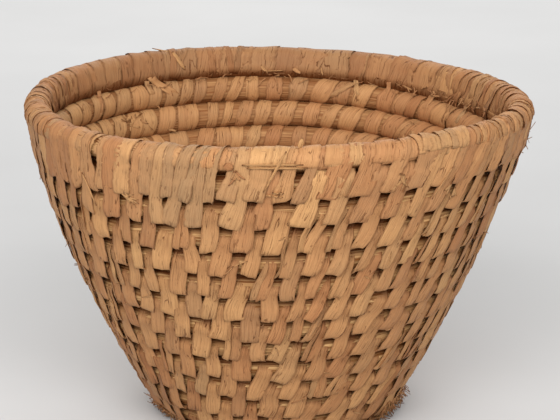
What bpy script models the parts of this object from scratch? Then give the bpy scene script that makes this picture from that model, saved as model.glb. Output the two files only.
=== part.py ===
"""A deep coiled straw basket.

One straw coil winds out from the middle of the base and up the wall, each turn lying against
the turn before it. Flat binding strips sew the turns together and cover the outside, one row of
strips to a turn. A rim hoop closes the top, overcast with a dense wrap of the same strips.

Metres, +Z up. The origin is on the floor at the centre of the base.
"""

import math

import bmesh
import bpy
import numpy as np

# Driving sizes, in metres and degrees
RIM_RADIUS = 0.200  # axis to the outside of the rim wrap
HEIGHT = 0.255  # floor to the top of the rim wrap
FOOT_RADIUS = 0.0985  # axis to where the outside of the wall comes down to the floor
RIM_LEAN = 15.2  # how far the wall leans out from upright at the rim
CORNER_REACH = 0.012  # length of base that the rounded foot corner takes up
COIL_RADIUS = 0.0099  # straw coil, over the corners of its section
COIL_GAP = 0.0005  # between one turn of the coil and the next
TIP_RADIUS = 0.0012  # straw coil at its two tapered ends
CENTRE_HOLE_RADIUS = 0.0010  # hole that the first turn leaves in the middle of the base
COIL_START = -120.0  # angle round the axis of the coil's inner end
RIM_CORE_RADIUS = 0.0100  # rim hoop, over the corners of its section
STRIP_THICKNESS = 0.0012  # layer of binding strips on the outside
WRAP_THICKNESS = 0.0014  # layer of strips round the rim
ROW_GROOVE = 0.0030  # how deep the outside dips between two rows of strips
SLIT_DEPTH = 0.0045  # how deep it dips at the ends of a strip
SLIT_HEIGHT = 0.0026  # from the groove under a strip up to the strip's lower end
UPPER_DIVE = 0.0050  # length over which a strip's upper end sinks away
STRIP_SAG = 0.0007  # how far a strip sinks where it crosses from one row to the next
STRIP_LIFT = 0.0006  # how far a strip's lower half stands out, and its upper half lies back
EDGE_GAP = 0.0008  # kept between a row's upper edge and what is above it
FIT_GAP = 0.0003  # between pieces that lie against each other
BASE_ROWS = 4  # rows of strips under the base, about a turn of the coil each
WALL_ROWS = 13  # rows of strips up the wall

# Stitches: each strip is sewn in between two of the turn below
STITCH_SPACING = 0.0182  # between neighbouring stitches of one turn
WIDE_GAP = 1.40  # a gap this wide, as a share of the spacing, takes two stitches
PAIR_SHARES = (0.33, 0.67)  # where those two go in the gap
STITCH_STRAY = 0.08  # how far a stitch strays from its place, as a share of its gap
STRAY_STEP = 0.618  # step from one stitch's stray to the next one's, as a share of their range
END_MARGIN = 0.005  # turn left plain at the two ends of a row
FIRST_STITCH = 0.9  # turns along the coil to the first stitch
FIRST_COUNT = 6  # stitches in the first turn
STRIP_LEAN = 9.0  # how far strips lean from upright, on average round the basket
LEAN_SWING = 11.0  # how much more they lean on the side where they lean most
LEAN_SIDE = -30.0  # angle round the axis of that side

# Sections: eight sides, with one flat facing straight out of the wall
SECTIONS_PER_TURN = 24
SIDES = 8
HALF_SIDE_ANGLE = math.pi / SIDES
FLAT = math.cos(HALF_SIDE_ANGLE)  # flat's distance from the middle, as a share of a corner's
HALF_FLAT = math.tan(HALF_SIDE_ANGLE)  # half a flat's width, as a share of its distance
DIAGONAL = math.sqrt(2.0)  # a slanted flat's line crosses the axes at this share of its distance
MERIDIAN_STEPS = 4000  # points on the wall's outline that the coil is laid along

# Sizes that follow from them
STRIP_INSIDE = COIL_RADIUS * FLAT + FIT_GAP
STRIP_OUTSIDE = STRIP_INSIDE + STRIP_THICKNESS
RIM_FLAT = RIM_CORE_RADIUS * FLAT
WRAP_INSIDE = RIM_FLAT + FIT_GAP
WRAP_OUTSIDE = WRAP_INSIDE + WRAP_THICKNESS
TURN_PITCH = 2 * COIL_RADIUS + COIL_GAP

STRAW = ("straw", (0.47, 0.29, 0.13), 0.85)
STRIPS = ("binding_strip", (0.50, 0.28, 0.12), 0.70)
WRAP = ("rim_strip", (0.45, 0.26, 0.11), 0.72)


def clear_scene():
    for obj in list(bpy.data.objects):
        bpy.data.objects.remove(obj)


def make_material(name, colour, roughness):
    material = bpy.data.materials.new(name)
    material.use_nodes = True
    shader = material.node_tree.nodes["Principled BSDF"]
    shader.inputs["Base Color"].default_value = (*colour, 1.0)
    shader.inputs["Roughness"].default_value = roughness
    shader.inputs["Metallic"].default_value = 0.0
    return material


def rim_centre():
    """Radius and height of the middle of the rim hoop, whose section leans with the wall."""
    corners = math.radians(90.0 - RIM_LEAN) + HALF_SIDE_ANGLE + 2 * HALF_SIDE_ANGLE * np.arange(SIDES)
    corner_distance = WRAP_OUTSIDE / FLAT
    return np.array(
        [
            RIM_RADIUS - corner_distance * np.cos(corners).max(),
            HEIGHT - corner_distance * np.sin(corners).max(),
        ]
    )


def bezier(start, control, end, share):
    """Points of a quadratic curve at the given shares of its run."""
    share = np.asarray(share)[:, None]
    return (1 - share) ** 2 * start + 2 * share * (1 - share) * control + share**2 * end


def meridian():
    """The line that the middle of the coil follows in section: base, foot corner, wall.

    Gives the distance along it from the axis, and the points (radius, height) there.
    """
    floor = STRIP_OUTSIDE
    foot = np.array([FOOT_RADIUS - STRIP_OUTSIDE, floor])
    top = rim_centre()
    half_height = (top[1] - floor) / 2
    belly = top - half_height * np.array([math.tan(math.radians(RIM_LEAN)), 1.0])
    wall = bezier(foot, belly, top, np.linspace(0, 1, MERIDIAN_STEPS))

    # The rounded corner is tangent to the base and to the wall one reach up from the foot
    rise = np.linalg.norm(wall - foot, axis=1)
    joined = int(np.searchsorted(rise, CORNER_REACH))
    slope = wall[joined + 1] - wall[joined]
    corner = wall[joined] - slope * (wall[joined][1] - floor) / slope[1]
    before = corner - np.array([CORNER_REACH, 0.0])
    rounded = bezier(before, corner, wall[joined], np.linspace(0, 1, MERIDIAN_STEPS)[:-1])
    base = np.linspace([0.0, floor], before, MERIDIAN_STEPS)[:-1]

    points = np.concatenate([base, rounded, wall[joined:]])
    along = np.concatenate([[0.0], np.cumsum(np.linalg.norm(np.diff(points, axis=0), axis=1))])
    return along, points


def step_along(along, points, start, distance):
    """The place on the meridian that lies a straight distance further on than start."""
    here = np.array([np.interp(start, along, points[:, 0]), np.interp(start, along, points[:, 1])])
    ahead = along > start
    away = np.linalg.norm(points[ahead] - here, axis=1)
    return float(np.interp(distance, away, along[ahead]))


def wind_coil(along, points):
    """Places along the meridian, and radii, of the coil's sections, and the first section's number.

    The first turn thickens from a thin tip. Each later section lies against the one a turn
    before it, and the last turn thins out under the rim, so that its top is level.
    """
    rim_seat = along[-1] - RIM_FLAT - FIT_GAP
    turn = np.arange(SECTIONS_PER_TURN) / SECTIONS_PER_TURN
    radii = list((TURN_PITCH * turn - COIL_GAP) / 2)
    places = [CENTRE_HOLE_RADIUS + radius for radius in radii]
    while True:
        below, below_radius = places[-SECTIONS_PER_TURN], radii[-SECTIONS_PER_TURN]
        room = rim_seat - below - below_radius - COIL_GAP
        radius = min(COIL_RADIUS, room / (1 + FLAT))
        if radius < TIP_RADIUS:
            break
        places.append(step_along(along, points, below, below_radius + COIL_GAP + radius))
        radii.append(radius)
    first = int(np.argmax(np.array(radii) >= TIP_RADIUS))
    return np.array(places), np.array(radii), first, rim_seat


def turn_angle(turns):
    """The angle round the axis after so many turns of the coil."""
    return 2 * math.pi * turns + math.radians(COIL_START)


def lay_section(along, points, place, turns, outline):
    """Puts a section's outline (out of the wall, up the wall) at a place on the coil, in 3D."""
    reach = TURN_PITCH / 100
    ends = [place - reach, min(place + reach, along[-1])]
    radius, height = (np.interp([place, *ends], along, points[:, axis]) for axis in (0, 1))
    up = np.array([radius[2] - radius[1], height[2] - height[1]])
    up /= np.linalg.norm(up)
    out = np.array([up[1], -up[0]])
    flat = np.array([radius[0], height[0]]) + np.outer(outline[:, 0], out) + np.outer(outline[:, 1], up)
    angle = turn_angle(turns)
    return np.column_stack([flat[:, 0] * math.cos(angle), flat[:, 0] * math.sin(angle), flat[:, 1]])


def round_outline(radius):
    """The eight-sided section of a straw bundle."""
    corners = HALF_SIDE_ANGLE + 2 * HALF_SIDE_ANGLE * np.arange(SIDES)
    return radius * np.column_stack([np.cos(corners), np.sin(corners)])


def strip_outline(radius, tip_up, tip_down):
    """The section of a row of strips: it hugs the outer half of the coil and ends in the grooves."""
    inside = radius * FLAT + FIT_GAP
    outside = inside + STRIP_THICKNESS
    brow = outside - ROW_GROOVE * radius / COIL_RADIUS
    return np.array(
        [
            (brow, tip_up),
            (outside, outside * HALF_FLAT),
            (outside, -outside * HALF_FLAT),
            (brow, -tip_down),
            (inside * DIAGONAL - tip_down, -tip_down),
            (inside, -inside * HALF_FLAT),
            (inside, inside * HALF_FLAT),
            (inside * DIAGONAL - tip_up, tip_up),
        ]
    )


def column_outline(radius, tip_up, tip_down, own):
    """Three points up the outside of a row, along a strip.

    A row's own strips start over a slit, stand out and cross into the row above. Between them
    the strips of the row below cross into this row, lie back and sink in at its top.
    """
    share = radius / COIL_RADIUS
    outside = radius * FLAT + FIT_GAP + STRIP_THICKNESS
    slit = outside - SLIT_DEPTH * share
    crossing = outside - STRIP_SAG * share
    top = tip_up - EDGE_GAP
    if own:
        middle = (outside + STRIP_LIFT * share, SLIT_HEIGHT * share - tip_down)
        return np.array([(slit, -tip_down), middle, (crossing, top)])
    middle = (outside - STRIP_LIFT * share, top - UPPER_DIVE * share)
    return np.array([(crossing, -tip_down), middle, (slit, top)])


def wrap_outline():
    """The section of the rim wrap: round the hoop's outside, top and inside, open underneath."""
    tip = RIM_FLAT - FIT_GAP

    def half(size):
        return [
            (size * DIAGONAL - tip, -tip),
            (size, -size * HALF_FLAT),
            (size, size * HALF_FLAT),
            (size * HALF_FLAT, size),
        ]

    def whole(size):
        return half(size) + [(-out, up) for out, up in reversed(half(size))]

    return np.array(whole(WRAP_OUTSIDE) + whole(WRAP_INSIDE)[::-1])


def make_swept(name, sections, material, parent, closed=False):
    """A solid with its skin stretched over a run of sections, capped unless it closes on itself."""
    bm = bmesh.new()
    rings = [[bm.verts.new(point) for point in section] for section in sections]
    following = rings[1:] + rings[:1] if closed else rings[1:]
    for ring, after in zip(rings, following):
        for corner in range(len(ring)):
            beside = (corner + 1) % len(ring)
            bm.faces.new((ring[corner], ring[beside], after[beside], after[corner]))
    if not closed:
        bm.faces.new(rings[0])
        bm.faces.new(rings[-1])
    finish_solid(name, bm, material, parent)


def finish_solid(name, bm, material, parent):
    """Turns a finished skin into an object, with its faces pointing outwards."""
    bmesh.ops.recalc_face_normals(bm, faces=bm.faces)
    if bm.calc_volume(signed=True) < 0:
        bmesh.ops.reverse_faces(bm, faces=bm.faces)
    mesh = bpy.data.meshes.new(name)
    bm.to_mesh(mesh)
    bm.free()
    mesh.shade_smooth()
    mesh.set_sharp_from_angle(angle=math.radians(60))
    mesh.materials.append(material)
    obj = bpy.data.objects.new(name, mesh)
    obj.parent = parent
    bpy.context.scene.collection.objects.link(obj)


def make_coil(along, points, places, radii, first, material, parent):
    """The straw coil, one unbroken length from the middle of the base to the rim."""
    sections = np.array(
        [
            lay_section(along, points, places[i], i / SECTIONS_PER_TURN, round_outline(radii[i]))
            for i in range(first, len(places))
        ]
    )
    print_least_gap(sections)
    make_swept("straw_coil", sections, material, parent)


def print_least_gap(sections):
    """Measures the coil's least gap to itself, between corners half a turn or more apart."""
    least = min(
        np.linalg.norm(sections[apart:, :, None] - sections[:-apart, None, :], axis=3).min()
        for apart in range(SECTIONS_PER_TURN // 2, len(sections))
    )
    print(f"straw_coil: least gap to itself {1000 * least:.2f} mm")


def row_bounds(along, points, places, first):
    """The coil sections where each row of strips starts and ends, for the base and for the wall.

    The rows of the base share the coil as far as the foot, and those of the wall share the rest,
    all but the last, which is the whole turn under the rim.
    """
    lifted = np.interp(places, along, points[:, 1]) > STRIP_OUTSIDE + COIL_RADIUS / 2
    foot, last = int(np.argmax(lifted)), len(places) - 1
    base = np.linspace(first, foot, BASE_ROWS + 1).round().astype(int)
    wall = np.linspace(foot, last - SECTIONS_PER_TURN, WALL_ROWS).round().astype(int)
    return base, np.append(wall, last)


def lay_stitches(along, points, places):
    """Places the stitches, counted in turns along the coil, and the strips that start from them.

    A stitch goes between two of the turn below, moved on by the strips' lean. Where a gap has grown
    wide, two go into it, as a maker widens a basket. Gives the turns at the bottom and at the top of
    a row for every strip that starts in it and, after each of these, for the strip from below.
    """
    coil_turns = np.arange(len(places)) / SECTIONS_PER_TURN
    turns = list(FIRST_STITCH + np.arange(FIRST_COUNT + 1) / (FIRST_COUNT + 0.5))
    first, last = [], []
    while turns[-1] < coil_turns[-1] + 3:
        start, end = turns[len(first)], turns[len(first) + 1]
        place = np.interp(end + 1, coil_turns, places)
        around = 2 * math.pi * np.interp(place, along, points[:, 0])
        lean = STRIP_LEAN + LEAN_SWING * math.cos(turn_angle(end) - math.radians(LEAN_SIDE))
        climb = math.tan(math.radians(lean)) * TURN_PITCH / around
        wide = (end - start) * around > WIDE_GAP * STITCH_SPACING
        first.append(len(turns))
        for share in PAIR_SHARES if wide else (0.5,):
            stray = STITCH_STRAY * (2 * (len(turns) * STRAY_STEP % 1) - 1)
            turns.append(start + 1 + climb + (end - start) * (share + stray))
        last.append(len(turns) - 1)
    turns, first, last = np.array(turns), np.array(first), np.array(last)
    own = np.arange(1, len(first))
    bottoms = np.stack([turns[own], (turns[own] + turns[own + 1]) / 2], axis=1)
    crossed = (turns[last[own - 1]] + turns[first[own]]) / 2 - 1
    ended = (turns[first[own]] + turns[last[own]]) / 2 - 1
    return bottoms.ravel(), np.stack([crossed, ended], axis=1).ravel()


def zip_edges(bm, one, other):
    """Fills between two edges with triangles, moving on along the edge that lags behind.

    An edge is a list of corners, each with the turn of the coil that it lies at.
    """
    i = j = 0
    while i + j < len(one) + len(other) - 2:
        one_lags = j == len(other) - 1 or (i < len(one) - 1 and one[i + 1][0] <= other[j + 1][0])
        if one_lags:
            bm.faces.new((one[i][1], one[i + 1][1], other[j][1]))
            i += 1
        else:
            bm.faces.new((one[i][1], other[j + 1][1], other[j][1]))
            j += 1


def make_woven_row(name, coil_turns, sections, columns, own, material, parent):
    """A row of strips as one solid: a plain lining against the coil, and an outside in relief.

    The lining and the two ends come from the coil's sections. Between the ends stand the columns,
    and the skin between a strip that starts in the row and its neighbour is creased along the strip.
    """

    def plain_column(turn, section):
        return [(turn, point) for point in (section[3], (section[1] + section[2]) / 2, section[0])]

    columns = [
        plain_column(coil_turns[0], sections[0]),
        *columns,
        plain_column(coil_turns[-1], sections[-1]),
    ]
    bm = bmesh.new()
    outside = [[(turn, bm.verts.new(point)) for turn, point in column] for column in columns]
    lining = [
        [(turn, bm.verts.new(point)) for point in section[SIDES // 2 :]]
        for turn, section in zip(coil_turns, sections)
    ]
    for section, after in zip(lining, lining[1:]):
        for low in range(len(section) - 1):
            corners = section[low], section[low + 1], after[low + 1], after[low]
            bm.faces.new([vert for _, vert in corners])
    for starts, here, after in zip([False, *own], outside, outside[1:]):
        strip, beside = (here, after) if starts else (after, here)
        (_, low), (_, middle), (_, high) = strip
        (_, beside_low), (_, beside_middle), (_, beside_high) = beside
        bm.faces.new((low, middle, beside_low))
        bm.faces.new((beside_low, middle, beside_middle))
        bm.faces.new((beside_middle, middle, high))
        bm.faces.new((beside_middle, high, beside_high))
    zip_edges(bm, [column[0] for column in outside], [section[0] for section in lining])
    zip_edges(bm, [column[-1] for column in outside], [section[-1] for section in lining])
    for column, section in ((outside[0], lining[0]), (outside[-1], lining[-1])):
        bm.faces.new([vert for _, vert in (*column, *reversed(section))])
    finish_solid(name, bm, material, parent)


def rest_on_floor(points):
    """Strips are worn flat where the basket stands on the floor."""
    return np.column_stack([points[:, :2], np.maximum(points[:, 2], 0.0)])


def make_binding(along, points, places, radii, first, rim_seat, material, parent):
    """The rows of binding strips: plain under the base, in relief up the wall.

    The last one reaches up to the rim, past the end of the coil too.
    """
    coil_turns = np.arange(len(places)) / SECTIONS_PER_TURN
    tips_down = radii + (COIL_GAP - FIT_GAP) / 2
    base_bounds, wall_bounds = row_bounds(along, points, places, first)
    bottoms, tops = lay_stitches(along, points, places)
    own = np.arange(len(bottoms)) % 2 == 0

    def lay_row(start, end, tips_up):
        """The sections of a row, its start kept clear of the row before."""
        row = []
        for i in range(start, end + 1):
            outline = strip_outline(radii[i], tips_up[i], tips_down[i])
            row.append(rest_on_floor(lay_section(along, points, places[i], coil_turns[i], outline)))
        if start > first:
            first_length = np.linalg.norm(row[1] - row[0], axis=1).min()
            row[0] = row[0] + (row[1] - row[0]) * FIT_GAP / first_length
        return row

    def lay_column(strip, tips_up):
        """The points of a leaning column, each with the turn that it lies at."""
        sizes = (np.interp(bottoms[strip], coil_turns, table) for table in (radii, tips_up, tips_down))
        outline = column_outline(*sizes, own[strip])
        turns = np.interp(outline[:, 1], outline[[0, -1], 1], [bottoms[strip], tops[strip]])
        column = []
        for turn, point in zip(turns, outline):
            place = np.interp(turn, coil_turns, places)
            column.append((turn, rest_on_floor(lay_section(along, points, place, turn, point[None]))[0]))
        return column

    tips_between = np.minimum(tips_down, rim_seat - places)
    for number, (start, end) in enumerate(zip(base_bounds[:-1], base_bounds[1:]), 1):
        make_swept(f"base_binding_{number:02d}", lay_row(start, end, tips_between), material, parent)
    for number, (start, end) in enumerate(zip(wall_bounds[:-1], wall_bounds[1:]), 1):
        tips_up = rim_seat - places if number == WALL_ROWS else tips_between
        started = np.minimum(bottoms, tops) > coil_turns[start] + END_MARGIN
        ended = np.maximum(bottoms, tops) > coil_turns[end] - END_MARGIN
        strips = np.flatnonzero(started & ~ended)
        make_woven_row(
            f"wall_binding_{number:02d}",
            coil_turns[start : end + 1],
            lay_row(start, end, tips_up),
            [lay_column(strip, tips_up) for strip in strips],
            own[strips],
            material,
            parent,
        )


def make_rim(along, points, straw, wrap, parent):
    """The rim hoop and the wrap over it, both closed rings."""
    around = np.arange(SECTIONS_PER_TURN) / SECTIONS_PER_TURN
    for name, outline, material in (
        ("rim_core", round_outline(RIM_CORE_RADIUS), straw),
        ("rim_wrap", wrap_outline(), wrap),
    ):
        sections = np.array([lay_section(along, points, along[-1], share, outline) for share in around])
        make_swept(name, sections, material, parent, closed=True)


def main():
    clear_scene()
    basket = bpy.data.objects.new("basket", None)
    bpy.context.scene.collection.objects.link(basket)
    straw, strips, wrap = (make_material(*finish) for finish in (STRAW, STRIPS, WRAP))

    along, points = meridian()
    places, radii, first, rim_seat = wind_coil(along, points)
    make_coil(along, points, places, radii, first, straw, basket)
    make_binding(along, points, places, radii, first, rim_seat, strips, basket)
    make_rim(along, points, straw, wrap, basket)


main()
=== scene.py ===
"""The looks of a deep coiled straw basket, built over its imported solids.

A straw coil winds up from the middle of the base. Flat bark strips are sewn over it, each across two
turns, so that they cover the outside like staggered shingles and show as short wraps on the inside.
A thicker rim is overcast with the same strips. Metres, +Z up, origin under the middle of the base.
"""

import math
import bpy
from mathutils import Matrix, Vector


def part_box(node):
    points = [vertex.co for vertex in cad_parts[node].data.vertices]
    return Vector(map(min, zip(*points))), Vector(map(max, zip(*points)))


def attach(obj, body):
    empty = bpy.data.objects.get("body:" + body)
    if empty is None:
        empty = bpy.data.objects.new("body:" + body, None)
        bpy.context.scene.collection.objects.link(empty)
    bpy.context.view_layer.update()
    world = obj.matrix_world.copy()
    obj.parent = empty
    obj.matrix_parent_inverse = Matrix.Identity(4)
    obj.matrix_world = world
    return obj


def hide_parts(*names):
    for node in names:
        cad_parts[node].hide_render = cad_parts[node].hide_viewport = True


bl_info = {
    "name": "Coiled Straw Basket",
    "version": (1, 0, 0),
    "blender": (4, 5, 0),
    "location": "View3D > Sidebar > Basket",
    "description": "Builds a coiled straw basket from straw, sewn strips and an overcast rim",
    "category": "Add Mesh",
}

import typing

import bpy
import numpy as np

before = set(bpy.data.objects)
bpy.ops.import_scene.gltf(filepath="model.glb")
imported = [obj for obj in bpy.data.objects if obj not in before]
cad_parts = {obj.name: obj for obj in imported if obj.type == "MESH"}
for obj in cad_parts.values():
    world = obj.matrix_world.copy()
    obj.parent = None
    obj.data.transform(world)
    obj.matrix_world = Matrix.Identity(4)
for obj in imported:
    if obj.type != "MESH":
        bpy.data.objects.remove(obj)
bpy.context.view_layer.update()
RIM_LOW, RIM_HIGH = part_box("rim_core")
BODY = "root"

# The winding
SECTIONS_PER_TURN = 96  # steps that the coil's line is worked out in
FLAT = math.cos(math.pi / 8)  # a flat's distance in the solids' eight-sided sections, as a share
MERIDIAN_STEPS = 2000
PLACE_CORRECTIONS = 3  # times that a step along the meridian is put right
FLOOR_ROOM = 0.0012  # height below which things are pressed flat against the floor
RIM_OVERRUN = 0.05  # how far the meridian is carried on past the rim's middle
BASE_ROWS = 4
WALL_ROWS = 13
RIM_TURNS = 2  # rows of strips that run on over the rim
ROW_STOP = 0.5  # turns between the last row's end and the coil's
THIN_COIL = (0.0086, 0.0095)  # sizes of the coil's last turn that the wraps cover wholly and not at all

# How the wall leaves its meridian near the rim
RIM_FOLLOWS = 0.10  # length of wall below the rim that is drawn up, waves and shifts with it
DRAW_BEGINS = 0.20  # how far below the rim the rows begin to be drawn up further at the back
DRAW_GROWS = 0.11  # length over which that grows
DRAW_FADES = 0.013  # length below the rim's seat over which it fades again

# Directions round the axis, each with a width, in degrees: -90 is the front and 0 the right
DRAWN_UP = (80, 45)  # where the rows are drawn up further
RIM_HUMP = (132, 38)  # the hump on the rim
DARK_BACK = (95, 60)  # where the rim is darker
GREY_FRONT = (-112, 13)  # where the rim's strips are weathered
INNER_RIGHT = (15, 50)  # where the inner stitches are broad and red, and lean most
INNER_LEFT = (165, 45)  # where they are broad and pale

# The ends of wraps on the rim's inside
TUCK = 0.82  # how far wraps go down inside the hoop, as a share of their own radius
SLACK = 1.10  # factor on that
SLACK_SWING = 0.22  # how much the factor varies
SLACK_RATE = 230.0  # how often it does so in one turn round the rim, so that neighbours differ
DRAWN_UNDER = 0.43  # how far the ends are drawn back under the hoop, as a share of the same radius
DRAWN_POWER = 2  # power of the way down that this grows with
COVER_POWER = 6  # what is added to the power where wraps go on down over the thin coil

# Tones: paleness, redness and greyness
TONE_SPREAD = (0.28, 0.30, 0.18)
BACK_TONES = (-0.45, 0.25, 0.25)  # what is added to the rim's at the back
BACK_SHADE = 0.17  # how much darker it is there, inside

# How a strip's outline is cut: shares of its half width, along its upper and its lower face
UPPER_SHARES = np.array([-1.0, -0.62, 0.0, 0.62, 1.0])
LOWER_SHARES = np.array([0.8, -0.8])
SQUARE_CUT = 0 * UPPER_SHARES
SLANT = 0.0008  # spread of how far a lower end slants over half its width
SLANT_RAGGED = 0.00030  # spread of how far its points stray from the slant
CUT_FADE = 0.5  # share of a strip's length over which its slanted end fades
TINY = 1e-12  # keeps a length that is divided by from being nothing

# Painted shade on a strip where its ends turn in, and over what shares of its length
END_SHADE = 0.8
LOWER_SHADE = 0.05
UPPER_SHADE = 0.16

# Where a strip's sections lie along it: close together where its lower end turns in
STRIP_STATIONS = np.array([0, 0.012, 0.035, 0.10, 0.22, 0.36, 0.50, 0.66, 0.82, 0.92, 1.0])
DIVE_STATIONS = (0, 0.012, 0.035, 0.08)  # shares of its length where its lower end's depth is given
DIVE_RUN = (0, 0.0004, 0.0012, 0.0030)  # the same in metres, on strips that run on over the rim
DIVE_DEPTHS = (1.0, 0.16, 0.03, 0.0)  # how deep a lower end lies there, as shares of the end dive
UPPER_DIVE = 0.22  # share of a strip over which its upper end goes in
TOP_ROOM = 0.0005  # left free above its upper end
LIFT_LEFT = 0.35  # share of its lift that is left higher up

# Where each group's random draws start
STRAW_SEED = 5
STRIP_SEED = 23
INNER_SEED = 37
FIBRE_SEED = 51


def length(name, description, default):
    """A size in metres for a property group."""
    return bpy.props.FloatProperty(
        name=name, description=description, default=default, unit="LENGTH", subtype="DISTANCE", precision=5
    )


def lengths(name, description, default):
    """Several sizes in metres for a property group."""
    return bpy.props.FloatVectorProperty(
        name=name, description=description, default=default, size=len(default), unit="LENGTH"
    )


def angle(name, description, degrees):
    """An angle for a property group."""
    return bpy.props.FloatProperty(
        name=name, description=description, default=math.radians(degrees), unit="ROTATION", subtype="ANGLE"
    )


def share(name, description, default):
    """A plain number from nought to a few."""
    return bpy.props.FloatProperty(name=name, description=description, default=default)


def colour(name, description, default):
    """A linear colour for a property group."""
    return bpy.props.FloatVectorProperty(
        name=name, description=description, default=default, size=3, subtype="COLOR", min=0.0, max=1.0
    )


class BasketShape(bpy.types.PropertyGroup):
    """The wall's outline and the coil that follows it."""

    rim_place: lengths(
        "Rim place",
        "Radius and height of the middle of the rim hoop",
        (RIM_HIGH.x - (RIM_HIGH.z - RIM_LOW.z) / 2, (RIM_HIGH.z + RIM_LOW.z) / 2),
    )
    rim_core: length("Rim hoop", "Radius of the rim's straw hoop", 0.0100)
    rim_lean: angle("Rim lean", "How far the wall leans out at the rim", 15.2)
    foot_radius: length("Foot", "Axis to where the outside of the wall meets the floor", 0.0985)
    corner_reach: length("Foot corner", "Length of base that the rounded corner takes", 0.012)
    coil_radius: length("Coil", "Radius of the straw coil", 0.0099)
    coil_gap: length("Coil gap", "Between one turn of the coil and the next", 0.0005)
    tip_radius: length("Coil tip", "Radius of the coil's tapered ends", 0.0012)
    centre_hole: length("Centre hole", "Hole that the first turn leaves", 0.001)
    floor_height: length("Coil height", "Floor to the coil's centre line on the base", 0.01065)
    coil_start: angle("Coil start", "Angle round the axis of the coil's inner end", -120.0)
    rim_straw: length("Rim straw", "Radius of the straw seen in the rim", 0.0083)
    row_lift: length("Row lift", "How far the uppermost rows are drawn up under the thin rim", 0.0028)
    back_draw: length("Back draw", "How much further they are drawn up at the back", 0.0060)
    hoop_drop: length("Hoop drop", "How far the thin rim's middle lies below the solid's", 0.0014)
    rim_rise: length("Rim rise", "How much the rim stands above its solid on average", 0.0008)
    rim_waves: lengths(
        "Rim waves",
        "Cosine and sine heights of the rim's rise and fall, once, twice and three times round",
        (-0.0010, -0.0005, -0.0004, -0.0018, -0.0004, -0.0001),
    )
    rim_hump: length("Rim hump", "How much more it stands up at the back left", 0.0016)
    rim_shift: length("Rim shift", "How far the rim sits to the right", 0.0034)


class StripStyle(bpy.types.PropertyGroup):
    """How the strips are cut and sewn."""

    spacing: length("Stitch spacing", "Between neighbouring stitches of one turn", 0.0182)
    thickness: length("Strip thickness", "Thickness of a strip", 0.0008)
    lean: angle("Lean", "How far strips lean from upright, on average round the basket", 9.0)
    lean_swing: angle("Lean swing", "How much more they lean where they lean most", 11.0)
    lean_most: angle("Lean direction", "Angle round the axis where they lean most", -30.0)
    crown: length("Crown", "How much a strip's middle stands above its edges", 0.00045)
    lift: length("Lift", "How far a strip lies off the coil", 0.0011)
    groove_dip: length("Groove dip", "How far a strip sinks between two turns", 0.0007)
    end_dive: length("End dive", "How deep a strip's ends tuck in", 0.0066)
    slit: length("Slit", "Bare straw left under a strip's lower end", 0.0021)
    split_share: share("Split strips", "Share of the strips that are split in two", 0.22)
    rim_wrap: length("Rim wrap", "Radius of the strips round the rim hoop", 0.0088)


class BasketColours(bpy.types.PropertyGroup):
    """Linear colours of straw and strips."""

    strip_tan: colour("Tan strip", "Most of the strips", (0.497, 0.237, 0.098))
    strip_gold: colour("Golden strip", "The palest strips", (0.606, 0.328, 0.136))
    strip_red: colour("Red-brown strip", "The darkest strips", (0.395, 0.164, 0.065))
    strip_grey: colour("Weathered strip", "Greyed strips on the rim", (0.385, 0.222, 0.106))
    # Dark fibres and cracks, and also the colour of painted shade at strip edges and ends, under other
    # strips and in the straw's grooves
    fibre_and_shade_dark: colour("Dark fibre", "Fibres and edges", (0.112, 0.030, 0.005))
    straw_pale: colour("Pale straw", "Straw in the slits", (0.600, 0.350, 0.150))
    straw_dark: colour("Dark straw", "Old straw", (0.190, 0.069, 0.017))


class StageSettings(bpy.types.PropertyGroup):
    """Camera and floor."""

    camera_distance: length("Camera distance", "From the point that it aims at", 1.8)
    camera_rise: angle("Camera rise", "Angle above level", 14.8)
    camera_aim: lengths("Camera aim", "Point that the camera looks at", (0.0043, 0.0, 0.1600))
    camera_lens: bpy.props.FloatProperty(name="Lens", description="Focal length in mm", default=145.7)
    floor_colour: colour("Floor", "Plain pale floor", (0.60, 0.60, 0.60))


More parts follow.
